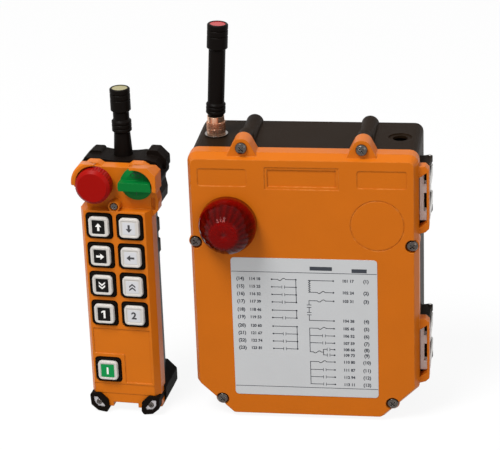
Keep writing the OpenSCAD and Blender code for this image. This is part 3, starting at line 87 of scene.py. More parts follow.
def handset_place():
    """The handset's own frame: +Y is the way its buttons are pressed."""
    press = next(Vector(j["axis"]) for j in frame["joints"] if j["name"] == "up_press")
    turn = Matrix.Rotation(math.atan2(-press.x, press.y), 4, "Z")
    back = turn.inverted()
    east, west = (back @ middle("button_" + key) for key in ("east", "west"))
    front = min((back @ v.co).y for v in NODES["button_east"].data.vertices) / MM
    return turn @ Matrix.Translation(Vector(((east.x + west.x) / 2, front + CAP_RISE, 0)) * MM)


# The receiver's own frame has its front face at Y = 0; the handset's is turned about Z
LID_FRONT = box("receiver_lid")[0].y
RECEIVER = Matrix.Translation((0, LID_FRONT * MM, 0))
HANDSET = handset_place()


def handset_box(node):
    """A node's points in the handset's own frame, and their lowest and highest corners."""
    back = HANDSET.inverted()
    points = [back @ v.co / MM for v in NODES[node].data.vertices]
    return points, *(Vector(end(values) for values in zip(*points)) for end in (min, max))


def srgb(code):
    """A web colour as linear light."""
    parts = [int(code[i:i + 2], 16) / 255 for i in (1, 3, 5)]
    return tuple(p / 12.92 if p <= 0.04045 else ((p + 0.055) / 1.055) ** 2.4
                 for p in parts) + (1.0,)


# Sizes and colours that a user would change

def swatch(name, description, code):
    return bpy.props.FloatVectorProperty(name=name, description=description, subtype="COLOR",
                                         size=4, min=0, max=1, default=srgb(code))


class ReceiverLooks(bpy.types.PropertyGroup):
    case_orange: swatch("Lid orange", "Colour of the lid", "#C4660F")
    case_black: swatch("Case black", "Colour of the case back", "#1F150C")
    label_grey: swatch("Label grey", "Colour of the label's film", "#BFC0C1")
    lens_red: swatch("Lens red", "Colour of the lamp's lens", "#9C0704")
    flute_count: bpy.props.IntProperty(
        name="Lens flutes", description="Flutes inside the lamp's lens", default=22, min=12, max=60)
    print_width: bpy.props.FloatProperty(
        name="Line width", description="Width of the label's lines, in millimetres",
        default=0.58, min=0.2, max=0.9)


class HandsetLooks(bpy.types.PropertyGroup):
    shell_orange: swatch("Shell orange", "Colour of the front shell", "#CC6C12")
    cap_white: swatch("Cap white", "Colour of the button caps", "#CFCAC4")
    stop_red: swatch("Stop red", "Colour of the stop button", "#960B06")
    knob_green: swatch("Knob green", "Colour of the rotary knob", "#046B2C")
    insert_side: bpy.props.FloatProperty(
        name="Insert side", description="Side of a button's insert, in millimetres",
        default=10.8, min=8, max=12.6)


class StageLooks(bpy.types.PropertyGroup):
    lens: bpy.props.FloatProperty(
        name="Focal length", description="Camera's focal length on a 36 mm sensor",
        default=152.91, min=20, max=400)
    yaw: bpy.props.FloatProperty(
        name="Yaw", description="Camera's turn about Z", subtype="ANGLE", default=0.15132)
    pitch: bpy.props.FloatProperty(
        name="Pitch", description="How far the camera looks down", subtype="ANGLE", default=0.39113)
    roll: bpy.props.FloatProperty(
        name="Roll", description="Camera's roll", subtype="ANGLE", default=-0.03683)
    place: bpy.props.FloatVectorProperty(
        name="Place", description="Camera's place", subtype="TRANSLATION", size=3,
        default=(0.20033, -1.64317, 0.84436))
    key_power: bpy.props.FloatProperty(
        name="Key light", description="Power of the main lamp, in watts", default=63, min=0)
    fill_power: bpy.props.FloatProperty(
        name="Fill light", description="Power of the fill lamp, in watts", default=10, min=0)
    sky: bpy.props.FloatProperty(
        name="Sky", description="Strength of the room's light", default=0.5, min=0)


# Node trees

FLOAT, COLOR, VECTOR = "NodeSocketFloat", "NodeSocketColor", "NodeSocketVector"
SOLID, OBJECT, MATERIAL = "NodeSocketGeometry", "NodeSocketObject", "NodeSocketMaterial"
WHITE = (1, 1, 1, 1)


def feed(tree, node, inputs):
    """Sets a node's inputs, each to a value or to another node's output."""
    for key, value in inputs.items():
        if isinstance(value, bpy.types.NodeSocket):
            tree.links.new(value, node.inputs[key])
        else:
            node.inputs[key].default_value = value


def add(tree, kind, inputs=None, **settings):
    node = tree.nodes.new(kind)
    for key, value in settings.items():
        setattr(node, key, value)
    feed(tree, node, inputs or {})
    return node


def maths(tree, operation, *terms, clamp=False):
    made = add(tree, "ShaderNodeMath", dict(enumerate(terms)), operation=operation, use_clamp=clamp)
    return made.outputs[0]


def mix(tree, share, first, second):
    """A colour between two others; 6, 7 and 2 are the node's sockets for colours."""
    made = add(tree, "ShaderNodeMix", {"Factor": share, 6: first, 7: second}, data_type="RGBA")
    return made.outputs[2]


def new_tree(name, kind, inputs, outputs):
    """An empty tree, its inputs' sockets and its output node."""
    tree = bpy.data.node_groups.new(name, kind)
    for way, sockets in (("INPUT", inputs), ("OUTPUT", outputs)):
        for label, socket in sockets.items():
            tree.interface.new_socket(label, in_out=way, socket_type=socket)
    return tree, tree.nodes.new("NodeGroupInput").outputs, tree.nodes.new("NodeGroupOutput")


# Finishes

MOTTLES_PER_METRE = 28.0
PATCHES_PER_METRE = 160.0
FLAT, ROUND = 0.995, 0.86  # cosine between the true and the rounded normal, off and on an edge


def moulded_group():
    """Slow mottling of a colour, and the fine grain of a moulded or cast surface."""
    tree, given, out = new_tree(
        "Moulded surface", "ShaderNodeTree",
        {"Vector": VECTOR, "Color": COLOR, "Mottle": FLOAT, "Grain size": FLOAT,
         "Roughness": FLOAT, "Roughness spread": FLOAT},
        {"Color": COLOR, "Roughness": FLOAT, "Height": FLOAT})
    slow = add(tree, "ShaderNodeTexNoise",
               {"Vector": given["Vector"], "Scale": MOTTLES_PER_METRE, "Detail": 4.0})
    grains = maths(tree, "DIVIDE", 1 / MM, given["Grain size"])
    fine = add(tree, "ShaderNodeTexNoise",
               {"Vector": given["Vector"], "Scale": grains, "Detail": 3.0})
    shift = maths(tree, "SUBTRACT", slow.outputs["Fac"], 0.5)
    value = maths(tree, "MULTIPLY", shift, given["Mottle"])
    value = maths(tree, "MULTIPLY_ADD", value, 2.0, 1.0)
    tint = add(tree, "ShaderNodeHueSaturation", {"Color": given["Color"], "Value": value})
    rough = maths(tree, "MULTIPLY_ADD", shift, given["Roughness spread"], given["Roughness"])
    feed(tree, out, {"Color": tint.outputs[0], "Roughness": rough, "Height": fine.outputs["Fac"]})


def edges_group():
    """Rounded-looking edges, and a paler line along them of rub wear and painted highlight."""
    tree, given, out = new_tree(
        "Rubbed edges", "ShaderNodeTree",
        {"Vector": VECTOR, "Color": COLOR, "Edge radius": FLOAT, "Rub": FLOAT, "Rub color": COLOR},
        {"Color": COLOR, "Normal": VECTOR})
    bevel = add(tree, "ShaderNodeBevel", {"Radius": given["Edge radius"]}, samples=4)
    true = add(tree, "ShaderNodeNewGeometry")
    dot = add(tree, "ShaderNodeVectorMath", {0: bevel.outputs[0], 1: true.outputs["Normal"]},
              operation="DOT_PRODUCT")
    edge = add(tree, "ShaderNodeMapRange",
               {"Value": dot.outputs["Value"], "From Min": FLAT, "From Max": ROUND})
    patch = add(tree, "ShaderNodeTexNoise",
                {"Vector": given["Vector"], "Scale": PATCHES_PER_METRE, "Detail": 5.0})
    patch = add(tree, "ShaderNodeMapRange",
                {"Value": patch.outputs["Fac"], "From Min": 0.42, "From Max": 0.62})
    # The paler edge colour is partly rub wear and partly a painted highlight on every edge
    rub_and_highlight_mask = maths(tree, "MULTIPLY", edge.outputs[0], patch.outputs[0])
    rub_and_highlight_mask = maths(tree, "MULTIPLY", rub_and_highlight_mask, given["Rub"], clamp=True)
    tint = mix(tree, rub_and_highlight_mask, given["Color"], given["Rub color"])
    feed(tree, out, {"Color": tint, "Normal": bevel.outputs[0]})


def board_tracks(tree, where, color):
    """Paler tracks between the fields of a circuit board."""
    scale = add(tree, "ShaderNodeVectorMath", {0: where, 1: (190.0, 0.0, 190.0)},
                operation="MULTIPLY")
    cells = add(tree, "ShaderNodeTexBrick", {
        "Vector": scale.outputs[0], "Scale": 1.0, "Mortar Size": 0.09, "Bias": -0.2,
        "Brick Width": 0.9, "Row Height": 0.45, "Color1": color,
        "Color2": tuple(c * 0.8 for c in color[:3]) + (1.0,),
        "Mortar": tuple(min(1.0, c * 1.9 + 0.01) for c in color[:3]) + (1.0,)})
    return cells.outputs["Color"]


def taped_half(tree, where, color):
    """The tape on the transformer's upper half."""
    height = add(tree, "ShaderNodeSeparateXYZ", {0: where}).outputs["Z"]
    taped = maths(tree, "GREATER_THAN", height, middle("transformer").z * MM)
    return mix(tree, taped, color, srgb("#6E6A5C"))


# Colour or the property that holds it, roughness, mottling, grain, depth of the grain, edge, how
# strong the edge's paler line of rub wear and painted highlight is, and what differs from the
# usual; grain and edge are in millimetres
FINISHES = {
    "Antenna rubber": ("#0E0A08", 0.42, 0.1, 0.9, 0.1, 0.4, 0.3,
                       dict(rubbed="#3A322B", level=0.04)),
    "Black case plastic": ("receiver_looks.case_black", 0.42, 0.12, 0.7, 0.22, 0.6, 0.5,
                           dict(rubbed="#4A3B30", level=0.015)),
    "Black insert film": ("#0D0B0A", 0.4, 0.1, 0.4, 0.04, 0.1, 0.1, dict(level=0.1)),
    "Black rubber": ("#120D0A", 0.6, 0.15, 0.5, 0.3, 0.7, 0.35, dict(rubbed="#3E342D", level=0.03)),
    "Brass": ("#C69A4E", 0.3, 0.12, 0.5, 0.06, 0.2, 0.3, dict(metal=1.0)),
    "Capacitor sleeve": ("#2B3354", 0.3, 0.08, 0.8, 0.04, 0.3, 0.2, dict(coat=0.3)),
    "Cast zinc": ("#BDB9BA", 0.42, 0.14, 0.7, 0.2, 0.3, 0.5, dict(spread=0.2, metal=0.85)),
    "Cell sleeve": ("#5E7A33", 0.25, 0.06, 0.8, 0.03, 0.3, 0.2, dict(coat=0.4)),
    "Circuit board lacquer": ("#1F6B3A", 0.35, 0.1, 0.4, 0.05, 0.1, 0.1,
                              dict(coat=0.3, pattern=board_tracks)),
    "Contact block plastic": ("#C9C3AA", 0.45, 0.06, 0.5, 0.08, 0.3, 0.2, {}),
    "Dark plated screw": ("#544E4A", 0.16, 0.2, 0.4, 0.1, 0.3, 0.8,
                          dict(spread=0.25, rubbed="#E2E0DC", metal=1.0)),
    "Dark sign ink": ("#2C2B30", 0.45, 0.1, 0.4, 0.04, 0.1, 0.1, {}),
    "Fuse holder plastic": ("#CFC6A8", 0.42, 0.06, 0.5, 0.08, 0.3, 0.2, {}),
    "Green insert film": ("#058A45", 0.4, 0.05, 0.4, 0.04, 0.1, 0.1, dict(level=0.15)),
    "Hinge link plastic": ("#E6E3DE", 0.4, 0.05, 0.8, 0.08, 0.4, 0.2, {}),
    "Knob green plastic": ("handset_looks.knob_green", 0.34, 0.06, 0.7, 0.1, 0.7, 0.4,
                           dict(rubbed="#25AE5C", level=0.08)),
    "Knob mark ink": ("#0E2A20", 0.45, 0.1, 0.4, 0.03, 0.05, 0.0, {}),
    "Label film": ("receiver_looks.label_grey", 0.32, 0.05, 1.6, 0.04, 0.15, 0.1, dict(metal=0.25)),
    "Label ink": ("#262A33", 0.5, 0.12, 0.3, 0.02, 0.02, 0.0, {}),
    "Nickel plate": ("#857E78", 0.2, 0.1, 0.5, 0.06, 0.3, 0.3, dict(spread=0.2, metal=1.0)),
    "Orange lid plastic": ("receiver_looks.case_orange", 0.4, 0.06, 0.8, 0.16, 0.9, 0.35,
                           dict(rubbed="#F0A858", level=0.12)),
    "Orange shell plastic": ("handset_looks.shell_orange", 0.36, 0.06, 0.8, 0.14, 0.8, 0.3,
                             dict(rubbed="#F2A654", level=0.12)),
    "Pale cap plastic": ("#9A9268", 0.4, 0.08, 0.6, 0.08, 0.2, 0.2, {}),
    "Pale insert film": ("#CFCFD2", 0.4, 0.03, 0.4, 0.04, 0.1, 0.1, dict(level=0.2)),
    "Red cap plastic": ("#A81B1B", 0.35, 0.06, 0.6, 0.08, 0.2, 0.2, {}),
    "Reflector chrome": ("#B9A7A4", 0.16, 0.2, 0.8, 0.2, 0.2, 0.2, dict(metal=1.0)),
    "Relay case plastic": ("#27477F", 0.32, 0.08, 0.6, 0.05, 0.4, 0.3, dict(coat=0.2)),
    "Relay label ink": ("#22242A", 0.5, 0.1, 0.3, 0.02, 0.02, 0.0, {}),
    "Relay label paper": ("#D9D6CC", 0.5, 0.08, 0.5, 0.05, 0.05, 0.1, {}),
    "Stop red plastic": ("handset_looks.stop_red", 0.34, 0.06, 0.7, 0.1, 0.6, 0.4,
                         dict(rubbed="#C8352A", level=0.06)),
    "Switch plastic": ("#2A2A2E", 0.45, 0.1, 0.5, 0.1, 0.3, 0.3, {}),
    "Terminal block plastic": ("#3E8A4E", 0.45, 0.08, 0.5, 0.1, 0.3, 0.3, {}),
    "Transformer core": ("#5D5F63", 0.4, 0.2, 0.5, 0.3, 0.3, 0.5,
                         dict(metal=0.5, pattern=taped_half)),
    "Warm plated sleeve": ("#D6AC90", 0.2, 0.16, 0.5, 0.12, 0.3, 0.5,
                           dict(spread=0.25, rubbed="#E8C8B0", metal=0.9)),
    "White cap plastic": ("handset_looks.cap_white", 0.34, 0.03, 0.6, 0.05, 0.8, 0.25,
                          dict(rubbed="#EFEBE6", level=0.25)),
    "White sign ink": ("#F2F0EC", 0.45, 0.05, 0.4, 0.04, 0.1, 0.1, {}),
    "Zinc plated steel": ("#C9C7C4", 0.3, 0.12, 0.6, 0.08, 0.25, 0.3, dict(spread=0.3, metal=1.0)),
}


def moulded(tree, where, color, mottle, grain, rough, spread):
    return add(tree, "ShaderNodeGroup", {
        "Vector": where, "Color": color, "Mottle": mottle, "Grain size": grain,
        "Roughness": rough, "Roughness spread": spread},
        node_tree=bpy.data.node_groups["Moulded surface"]).outputs


def make_finish(name, code, rough, mottle, grain, depth, edge, rub_and_highlight, rubbed=None, spread=0.12,
                metal=0.0, coat=0.0, level=0.5, pattern=None):
    """A material with mottling, grain and paler edges of rub wear and painted highlight."""
    color = srgb(code) if code[0] == "#" else tuple(bpy.context.scene.path_resolve(code))
    # The edges' paler colour stands for rub wear and a painted highlight
    paler_rub_and_highlight = tuple(min(1.0, c * 1.35 + 0.05) for c in color[:3]) + (1.0,)
    made = bpy.data.materials.new(name)
    made.use_nodes = True
    tree = made.node_tree
    where = add(tree, "ShaderNodeTexCoord").outputs["Object"]
    base = pattern(tree, where, color) if pattern else color
    body = moulded(tree, where, base, mottle, grain, rough, spread)
    edges = add(tree, "ShaderNodeGroup", {
        "Vector": where, "Color": body["Color"], "Edge radius": edge * MM, "Rub": rub_and_highlight,
        "Rub color": srgb(rubbed) if rubbed else paler_rub_and_highlight},
        node_tree=bpy.data.node_groups["Rubbed edges"]).outputs
    bump = add(tree, "ShaderNodeBump", {
        "Height": body["Height"], "Normal": edges["Normal"], "Strength": depth,
        "Distance": grain * MM})
    feed(tree, tree.nodes["Principled BSDF"], {
        "Base Color": edges["Color"], "Roughness": body["Roughness"], "Normal": bump.outputs[0],
        "Metallic": metal, "Coat Weight": coat, "Specular IOR Level": level})


def finish(name):
    """The material of that name, made when it is first asked for."""
    if name not in bpy.data.materials:
        *values, others = FINISHES[name]
        make_finish(name, *values, **others)
    return bpy.data.materials[name]


def dress(finish_name, *nodes):
    for node in nodes:
        NODES[node].material_slots[0].material = finish(finish_name)


# Outlines, as lists of (x, z) in millimetres

CORNER_STEPS = 5


def oblong(x0, z0, x1, z1):
    return [(x0, z0), (x1, z0), (x1, z1), (x0, z1)]


def rounded(w, h, r):
    """A rounded rectangle about the origin."""
    points = []
    for quarter, (x, z) in enumerate(((1, 1), (-1, 1), (-1, -1), (1, -1))):
        for i in range(CORNER_STEPS + 1):
            a = math.radians(90 * (quarter + i / CORNER_STEPS))
            points.append((x * (w / 2 - r) + r * math.cos(a), z * (h / 2 - r) + r * math.sin(a)))
    return points


def moved(points, x, z, turn=0.0, size=1.0):
    c, s = math.cos(math.radians(turn)), math.sin(math.radians(turn))
    return [(x + size * (c * px - s * pz), z + size * (s * px + c * pz)) for px, pz in points]


# Meshes

MERGE = 1e-5  # points nearer than this are one, in millimetres


class Shape:
    """Collects faces in millimetres in a place's own frame, then becomes one piece."""

    def __init__(self, place):
        self.mesh = bmesh.new()
        self.place = place

    def skin(self, rings, material=0, closed_ends=True, smooth=False):
        """Joins equal rings of points into a closed skin."""
        rows = [[self.mesh.verts.new(p) for p in ring] for ring in rings]
        made = []
        for low, high in zip(rows, rows[1:]):
            for i in range(len(low)):
                j = (i + 1) % len(low)
                made.append(self.mesh.faces.new((low[i], low[j], high[j], high[i])))
        if closed_ends:
            made.append(self.mesh.faces.new(list(reversed(rows[0]))))
            made.append(self.mesh.faces.new(rows[-1]))
        for face in made:
            face.material_index = material
            face.smooth = smooth

    def slab(self, points, y0, y1, material=0, edge=0.0):
        """An outline from depth y0, its front, to y1, with a small chamfer round its front."""
        rings = [[(x, y1, z) for x, z in points], [(x, y0 + edge, z) for x, z in points]]
        if edge:
            cx, cz = (sum(values) / len(points) for values in zip(*points))
            inner = []
            for x, z in points:
                share = edge / (math.hypot(x - cx, z - cz) or 1)
                inner.append((x - (x - cx) * share, y0, z - (z - cz) * share))
            rings.append(inner)
        self.skin(rings, material)

    def turned(self, profile, steps, centre=(0, 0, 0)):
        """A profile of (radius, height) turned about the Y axis through centre."""
        cx, cy, cz = centre
        angles = [2 * math.pi * i / steps for i in range(steps)]
        self.skin([[(cx + r * math.cos(a), cy + h, cz + r * math.sin(a)) for a in angles]
                   for r, h in profile], smooth=True)

    def line(self, points, width, y0, y1):
        """A line of flat strips, each as long as its two points and half a width at each end."""
        h = width / 2
        for (x0, z0), (x1, z1) in zip(points, points[1:]):
            length = math.hypot(x1 - x0, z1 - z0)
            u, v = (x1 - x0) / length * h, (z1 - z0) / length * h
            x0, z0, x1, z1 = x0 - u, z0 - v, x1 + u, z1 + v
            self.slab([(x0 + v, z0 - u), (x1 + v, z1 - u), (x1 - v, z1 + u), (x0 - v, z0 + u)],
                      y0, y1)

    def write(self, text, size, x, y, z, rise, material=0, bold=0.0):
        """Text about x and z that stands out by rise from the plane y, facing the front."""
        part = bmesh.new()
        part.from_mesh(flat_text(text, size, bold))
        bmesh.ops.remove_doubles(part, verts=part.verts, dist=MERGE * 10)
        grown = bmesh.ops.extrude_face_region(part, geom=part.faces[:])
        for item in grown["geom"]:
            if isinstance(item, bmesh.types.BMVert):
                item.co.z += rise
        seen = {v: self.mesh.verts.new((x + v.co.x, y - v.co.z, z + v.co.y)) for v in part.verts}
        for face in part.faces:
            self.mesh.faces.new([seen[v] for v in face.verts]).material_index = material
        part.free()

    def mesh_data(self, name):
        bmesh.ops.remove_doubles(self.mesh, verts=self.mesh.verts, dist=MERGE)
        bmesh.ops.recalc_face_normals(self.mesh, faces=self.mesh.faces)
        data = bpy.data.meshes.new(name)
        self.mesh.to_mesh(data)
        self.mesh.free()
        data.transform(self.place @ Matrix.Scale(MM, 4))
        return data

    def piece(self, name, body, finishes, slot, stands_for=None):
        """The finished piece, which rides on its body."""
        made = linked(name, self.mesh_data(name))
        for finish_name in finishes:
            made.data.materials.append(finish(finish_name))
        ride(made, body)
        if stands_for:
            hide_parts(stands_for)


def ride(made, body):
    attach(made, body)


def linked(name, data):
    """A new object in the scene."""
    made = bpy.data.objects.new(name, data)
    bpy.context.scene.collection.objects.link(made)
    return made


def plain_mesh(made):
    """An object's mesh as it is seen."""
    seen = bpy.context.evaluated_depsgraph_get()
    return bpy.data.meshes.new_from_object(made.evaluated_get(seen), depsgraph=seen)


def flat_text(text, size, bold):
    """Text as flat faces about its own middle, in millimetres."""
    curve = bpy.data.curves.new("figure", "FONT")
    curve.body = text
    curve.size = size
    curve.offset = bold
    curve.align_x = "CENTER"
    curve.align_y = "CENTER"
    curve.resolution_u = 3
    holder = linked("figure", curve)
    flat = plain_mesh(holder)
    bpy.data.objects.remove(holder)
    return flat


# Geometry Nodes

def repeat(tree, given, out, places):
    """Sets the given shape on places, as real faces of the given material."""
    shape = add(tree, "GeometryNodeObjectInfo", {"Object": given["Shape"]})
    many = add(tree, "GeometryNodeInstanceOnPoints",
               {"Instance": shape.outputs["Geometry"], **places})
    real = add(tree, "GeometryNodeRealizeInstances", {"Geometry": many.outputs[0]})
    paint = add(tree, "GeometryNodeSetMaterial",
                {"Geometry": real.outputs[0], "Material": given["Material"]})
    feed(tree, out, {0: paint.outputs[0]})


def places_tree():
    """A shape set on every point of a mesh."""
    tree, given, out = new_tree(
        "Pieces on places", "GeometryNodeTree",
        {"Places": SOLID, "Shape": OBJECT, "Size": FLOAT, "Turn": VECTOR, "Material": MATERIAL},
        {"Pieces": SOLID})
    repeat(tree, given, out,
           {"Points": given["Places"], "Rotation": given["Turn"], "Scale": given["Size"]})


def ring_tree():
    """Copies of a shape round the Z axis, each turned to face outwards."""
    tree, given, out = new_tree(
        "Ring of pieces", "GeometryNodeTree",
        {"Geometry": SOLID, "Shape": OBJECT, "Count": "NodeSocketInt", "Radius": FLOAT,
         "Material": MATERIAL},
        {"Pieces": SOLID})
    ring = add(tree, "GeometryNodeMeshCircle",
               {"Vertices": given["Count"], "Radius": given["Radius"]})
    index = add(tree, "GeometryNodeInputIndex").outputs[0]
    step = maths(tree, "DIVIDE", 2 * math.pi, given["Count"])
    turn = add(tree, "ShaderNodeCombineXYZ", {"Z": maths(tree, "MULTIPLY", index, step)})
    repeat(tree, given, out, {"Points": ring.outputs[0], "Rotation": turn.outputs[0]})


def by_nodes(name, tree_name, points, shape, place, body, values):
    """Repeats a shape by a geometry tree, and keeps the result as a plain mesh."""
    source = linked(name + "_shape", shape.mesh_data(name + "_shape"))
    start = bpy.data.meshes.new(name)
    start.from_pydata(points, [], [])
    made = linked(name, start)
    tree = bpy.data.node_groups[tree_name]
    modifier = made.modifiers.new(tree_name, "NODES")
    modifier.node_group = tree
    values["Shape"] = source
    for item in tree.interface.items_tree:
        if item.in_out == "INPUT" and item.name in values:
            modifier[item.identifier] = values[item.name]
    made.data = plain_mesh(made)
    made.modifiers.clear()
    bpy.data.objects.remove(source)
    made.data.transform(place)
    ride(made, body)


def on_places(name, shape, places, place, body, material):
    """A like shape at each of the places, in millimetres in the place's own frame."""
    points = [tuple(place @ (Vector(p) * MM)) for p in places]
    by_nodes(name, "Pieces on places", points, shape, ORIGIN, body,
             {"Size": 1.0, "Turn": place.to_euler(), "Material": finish(material)})


# Receiver

class REMOTE_OT_receiver_case(bpy.types.Operator):
    """Finish the receiver's lid, its back and the rubber between them"""
    bl_idname = "remote.receiver_case"
    bl_label = "Receiver case"

    def execute(self, context):
        dress("Orange lid plastic", "receiver_lid")
        dress("Black case plastic", "receiver_base")
        dress("Black rubber", "lid_gasket", "rubber_buffers")
        return {"FINISHED"}


# The contact plan, in millimetres to the right of the label's upper left corner and down from it
PRINT_RISE, PRINT_SINK = 0.04, 0.03
LEFT_NUMBER, LEFT_WIRE, LEFT_START, LEFT_END = 7.6, 19.6, 34.0, 54.2
RIGHT_START, SHORT_START, RIGHT_END, RIGHT_WIRE, RIGHT_NUMBER = 64.8, 76.0, 85.4, 97.6, 112.6
LEFT_BREAKS = {"fuse": 42.4, "contact": 43.5}
RIGHT_BREAKS = {"fuse": 75.2, "contact": 76.7, "short": 80.3}
FUSE_HALF, CONTACT_HALF = 3.4, 1.1
ROW_STEP = 6.9
NUMBER_SIZE, WIRE_SIZE, BOLD = 4.1, 3.5, 0.15
RULES, RULE_MARGIN, RULE_WIDTH = (12.6, 118.6), 0.6, 0.5
HEADINGS, HEADING_HALF = ((66.0, 84.6, 8.6), (100.8, 113.4, 10.0)), 1.7
LEFT_GROUPS = (
    (19.1, ((14, "fuse"), (15, "contact"), (16, "contact"), (17, "contact"))),
    (47.3, ((18, "plain"), (19, "contact"))),
    (62.1, ((20, "plain"), (21, "contact"), (22, "contact"), (23, "contact"))),
)
RIGHT_ROWS = (
    (1, 19.4, "plain"), (2, 30.1, "fuse"), (3, 37.8, "fuse"), (4, 55.9, "plain"), (5, 63.0, "fuse"),
    (6, 69.8, "contact"), (7, 76.5, "contact"), (8, 82.4, "short"), (9, 87.6, "short"),
    (10, 94.0, "fuse"), (11, 101.4, "contact"), (12, 108.2, "contact"), (13, 115.0, "contact"),
)
COIL_WIDTH, COIL_TURNS = 1.3, 12
PLATE_PAIRS, PLATE_REACH = (42.9, 49.7), (63.2, 66.4)
LOWEST_FUSE = (70.8, 85.0)


class ContactPlan(Shape):
    """The print on the label's film; places on it are (u, v)."""

    def __init__(self, width):
        super().__init__(RECEIVER)
        low, high = box("wiring_label")
        self.left, self.top, self.front = low.x, high.z, low.y - LID_FRONT
        self.right = high.x - low.x
        self.width = width
        self.depths = self.front - PRINT_RISE, self.front + PRINT_SINK
        self.contacts, self.dots = [], []

    def at(self, u, v):
        return self.left + u, self.top - v

    def trace(self, *points, width=None):
        self.line([self.at(u, v) for u, v in points], width or self.width, *self.depths)

    def words(self, text, size, u, v):
        x, z = self.at(u, v)
        self.write(text, size, x, self.depths[1], z, PRINT_RISE + PRINT_SINK, bold=BOLD)

    def fuse(self, u, v):
        self.trace(*((u + FUSE_HALF * (i / 5 - 1), v + math.sin(i / 5 * math.pi))
                     for i in range(11)))

    def row(self, number, v, kind, start, end, breaks, number_at, wire_at):
        """A numbered line, broken where it has a fuse or a contact."""
        self.words("(%d)" % number, NUMBER_SIZE, number_at, v)
        self.words("%d %02d" % (100 + number, number * 7 % 90 + 10), WIRE_SIZE, wire_at, v)
        if kind == "plain":
            self.trace((start, v), (end, v))
            return
        spot = breaks[kind]
        half = FUSE_HALF if kind == "fuse" else CONTACT_HALF
        self.trace((start, v), (spot - half, v))
        if kind == "fuse":
            self.fuse(spot, v)
        else:
            self.contacts.append((spot, v))
        self.trace((spot + half, v), (end, v))

    def head(self):
        for v in RULES:
            self.trace((RULE_MARGIN, v), (self.right - RULE_MARGIN, v), width=RULE_WIDTH)
        for u0, u1, v in HEADINGS:
            corners = *self.at(u0, v + HEADING_HALF), *self.at(u1, v - HEADING_HALF)
            self.slab(oblong(*corners), *self.depths)

    def left_side(self):
        for start, rows in LEFT_GROUPS:
            for i, (number, kind) in enumerate(rows):
                v = start + i * ROW_STEP
                self.row(number, v, kind, LEFT_START, LEFT_END, LEFT_BREAKS, LEFT_NUMBER, LEFT_WIRE)
                self.dots += [(LEFT_START, v), (LEFT_END, v)]
            self.trace((LEFT_END, start), (LEFT_END, v))

    def right_side(self):
        for number, v, kind in RIGHT_ROWS:
            start = SHORT_START if kind == "short" else RIGHT_START
            self.row(number, v, kind, start, RIGHT_END, RIGHT_BREAKS, RIGHT_NUMBER, RIGHT_WIRE)
            self.dots.append((RIGHT_END, v))
        row = {number: v for number, v, kind in RIGHT_ROWS}
        pitch = (row[2] - row[1]) / COIL_TURNS
        self.trace(*((RIGHT_START + COIL_WIDTH * (i % 2), row[1] + pitch * i)
                     for i in range(COIL_TURNS + 1)))
        plates = [v + side for v in PLATE_PAIRS for side in (-CONTACT_HALF, CONTACT_HALF)]
        ends = [row[3], *plates, row[4], row[5], row[7], row[10], row[13]]
        for v0, v1 in zip(ends[::2], ends[1::2]):
            self.trace((RIGHT_START, v0), (RIGHT_START, v1))
        for v in plates:
            self.trace(*((u, v) for u in PLATE_REACH))
        u, v = LOWEST_FUSE
        self.trace((RIGHT_START, row[7]), (RIGHT_START, v), (u - FUSE_HALF, v))
        self.fuse(u, v)
        self.trace((u + FUSE_HALF, v), (SHORT_START, v))
        self.trace((SHORT_START, row[8]), (SHORT_START, row[9]))


class REMOTE_OT_label(bpy.types.Operator):
    """Print the contact plan on the label's film"""
    bl_idname = "remote.label"
    bl_label = "Label"

    def execute(self, context):
        dress("Label film", "wiring_label")
        plan = ContactPlan(context.scene.receiver_looks.print_width)
        plan.head()
        plan.left_side()
        plan.right_side()
        plan.piece("label_lines", "lid", ["Label ink"], "label")
        bars = Shape(ORIGIN)
        for x in (-CONTACT_HALF, CONTACT_HALF):
            bars.slab(oblong(x - 0.2, -1.5, x + 0.2, 1.5), -PRINT_RISE, PRINT_SINK)
        dot = Shape(ORIGIN)
        dot.turned([(0.75, PRINT_SINK), (0.75, -PRINT_RISE)], steps=12)
        for name, shape, spots in (("label_contacts", bars, plan.contacts),
                                   ("label_dots", dot, plan.dots)):
            places = [(plan.left + u, plan.front, plan.top - v) for u, v in spots]
            on_places(name, shape, places, RECEIVER, "lid", "Label ink")
        return {"FINISHED"}


# The lens: its flat top and skirt as shares of its radius and rise, and sizes in millimetres
LENS_TOP, LENS_SKIRT = 0.46, 0.24
LENS_WALL, LENS_TIP = 2.0, 0.02
FLUTE_IN, FLUTE_OUT, FLUTE_FADE, FLUTE_STEPS = 1.0, -0.35, 3.0, 6
# Between skirt and flat top: share of the width that is left, and of the rise
CONE = ((0.99, 0.04), (0.95, 0.12), (0.9, 0.22), (0.84, 0.32), (0.76, 0.43), (0.68, 0.52),
        (0.57, 0.63), (0.46, 0.73), (0.35, 0.81), (0.24, 0.88), (0.15, 0.935), (0.08, 0.97))


def lens_shade(tree, where, centre, top, r, count):
    """Painted shade on the lens between its flat top and rim, striped along its flutes."""
    off = add(tree, "ShaderNodeVectorMath", {0: where, 1: centre}, operation="SUBTRACT")
    axes = add(tree, "ShaderNodeSeparateXYZ", {0: off.outputs[0]}).outputs
    squares = [maths(tree, "MULTIPLY", axes[name], axes[name]) for name in "XZ"]
    radius = maths(tree, "SQRT", maths(tree, "ADD", *squares))
    inner = maths(tree, "DIVIDE", maths(tree, "SUBTRACT", radius, top * MM), 2.5 * MM, clamp=True)
    outer = maths(tree, "DIVIDE", maths(tree, "SUBTRACT", (r - 0.6) * MM, radius), 1.5 * MM,
                  clamp=True)
    angle = maths(tree, "ARCTAN2", axes["Z"], axes["X"])
    flutes = maths(tree, "COSINE", maths(tree, "MULTIPLY", angle, float(count)))
    depth = maths(tree, "ADD", maths(tree, "MULTIPLY", flutes, 0.14), 0.6)
    return maths(tree, "MULTIPLY", maths(tree, "MINIMUM", inner, outer), depth)


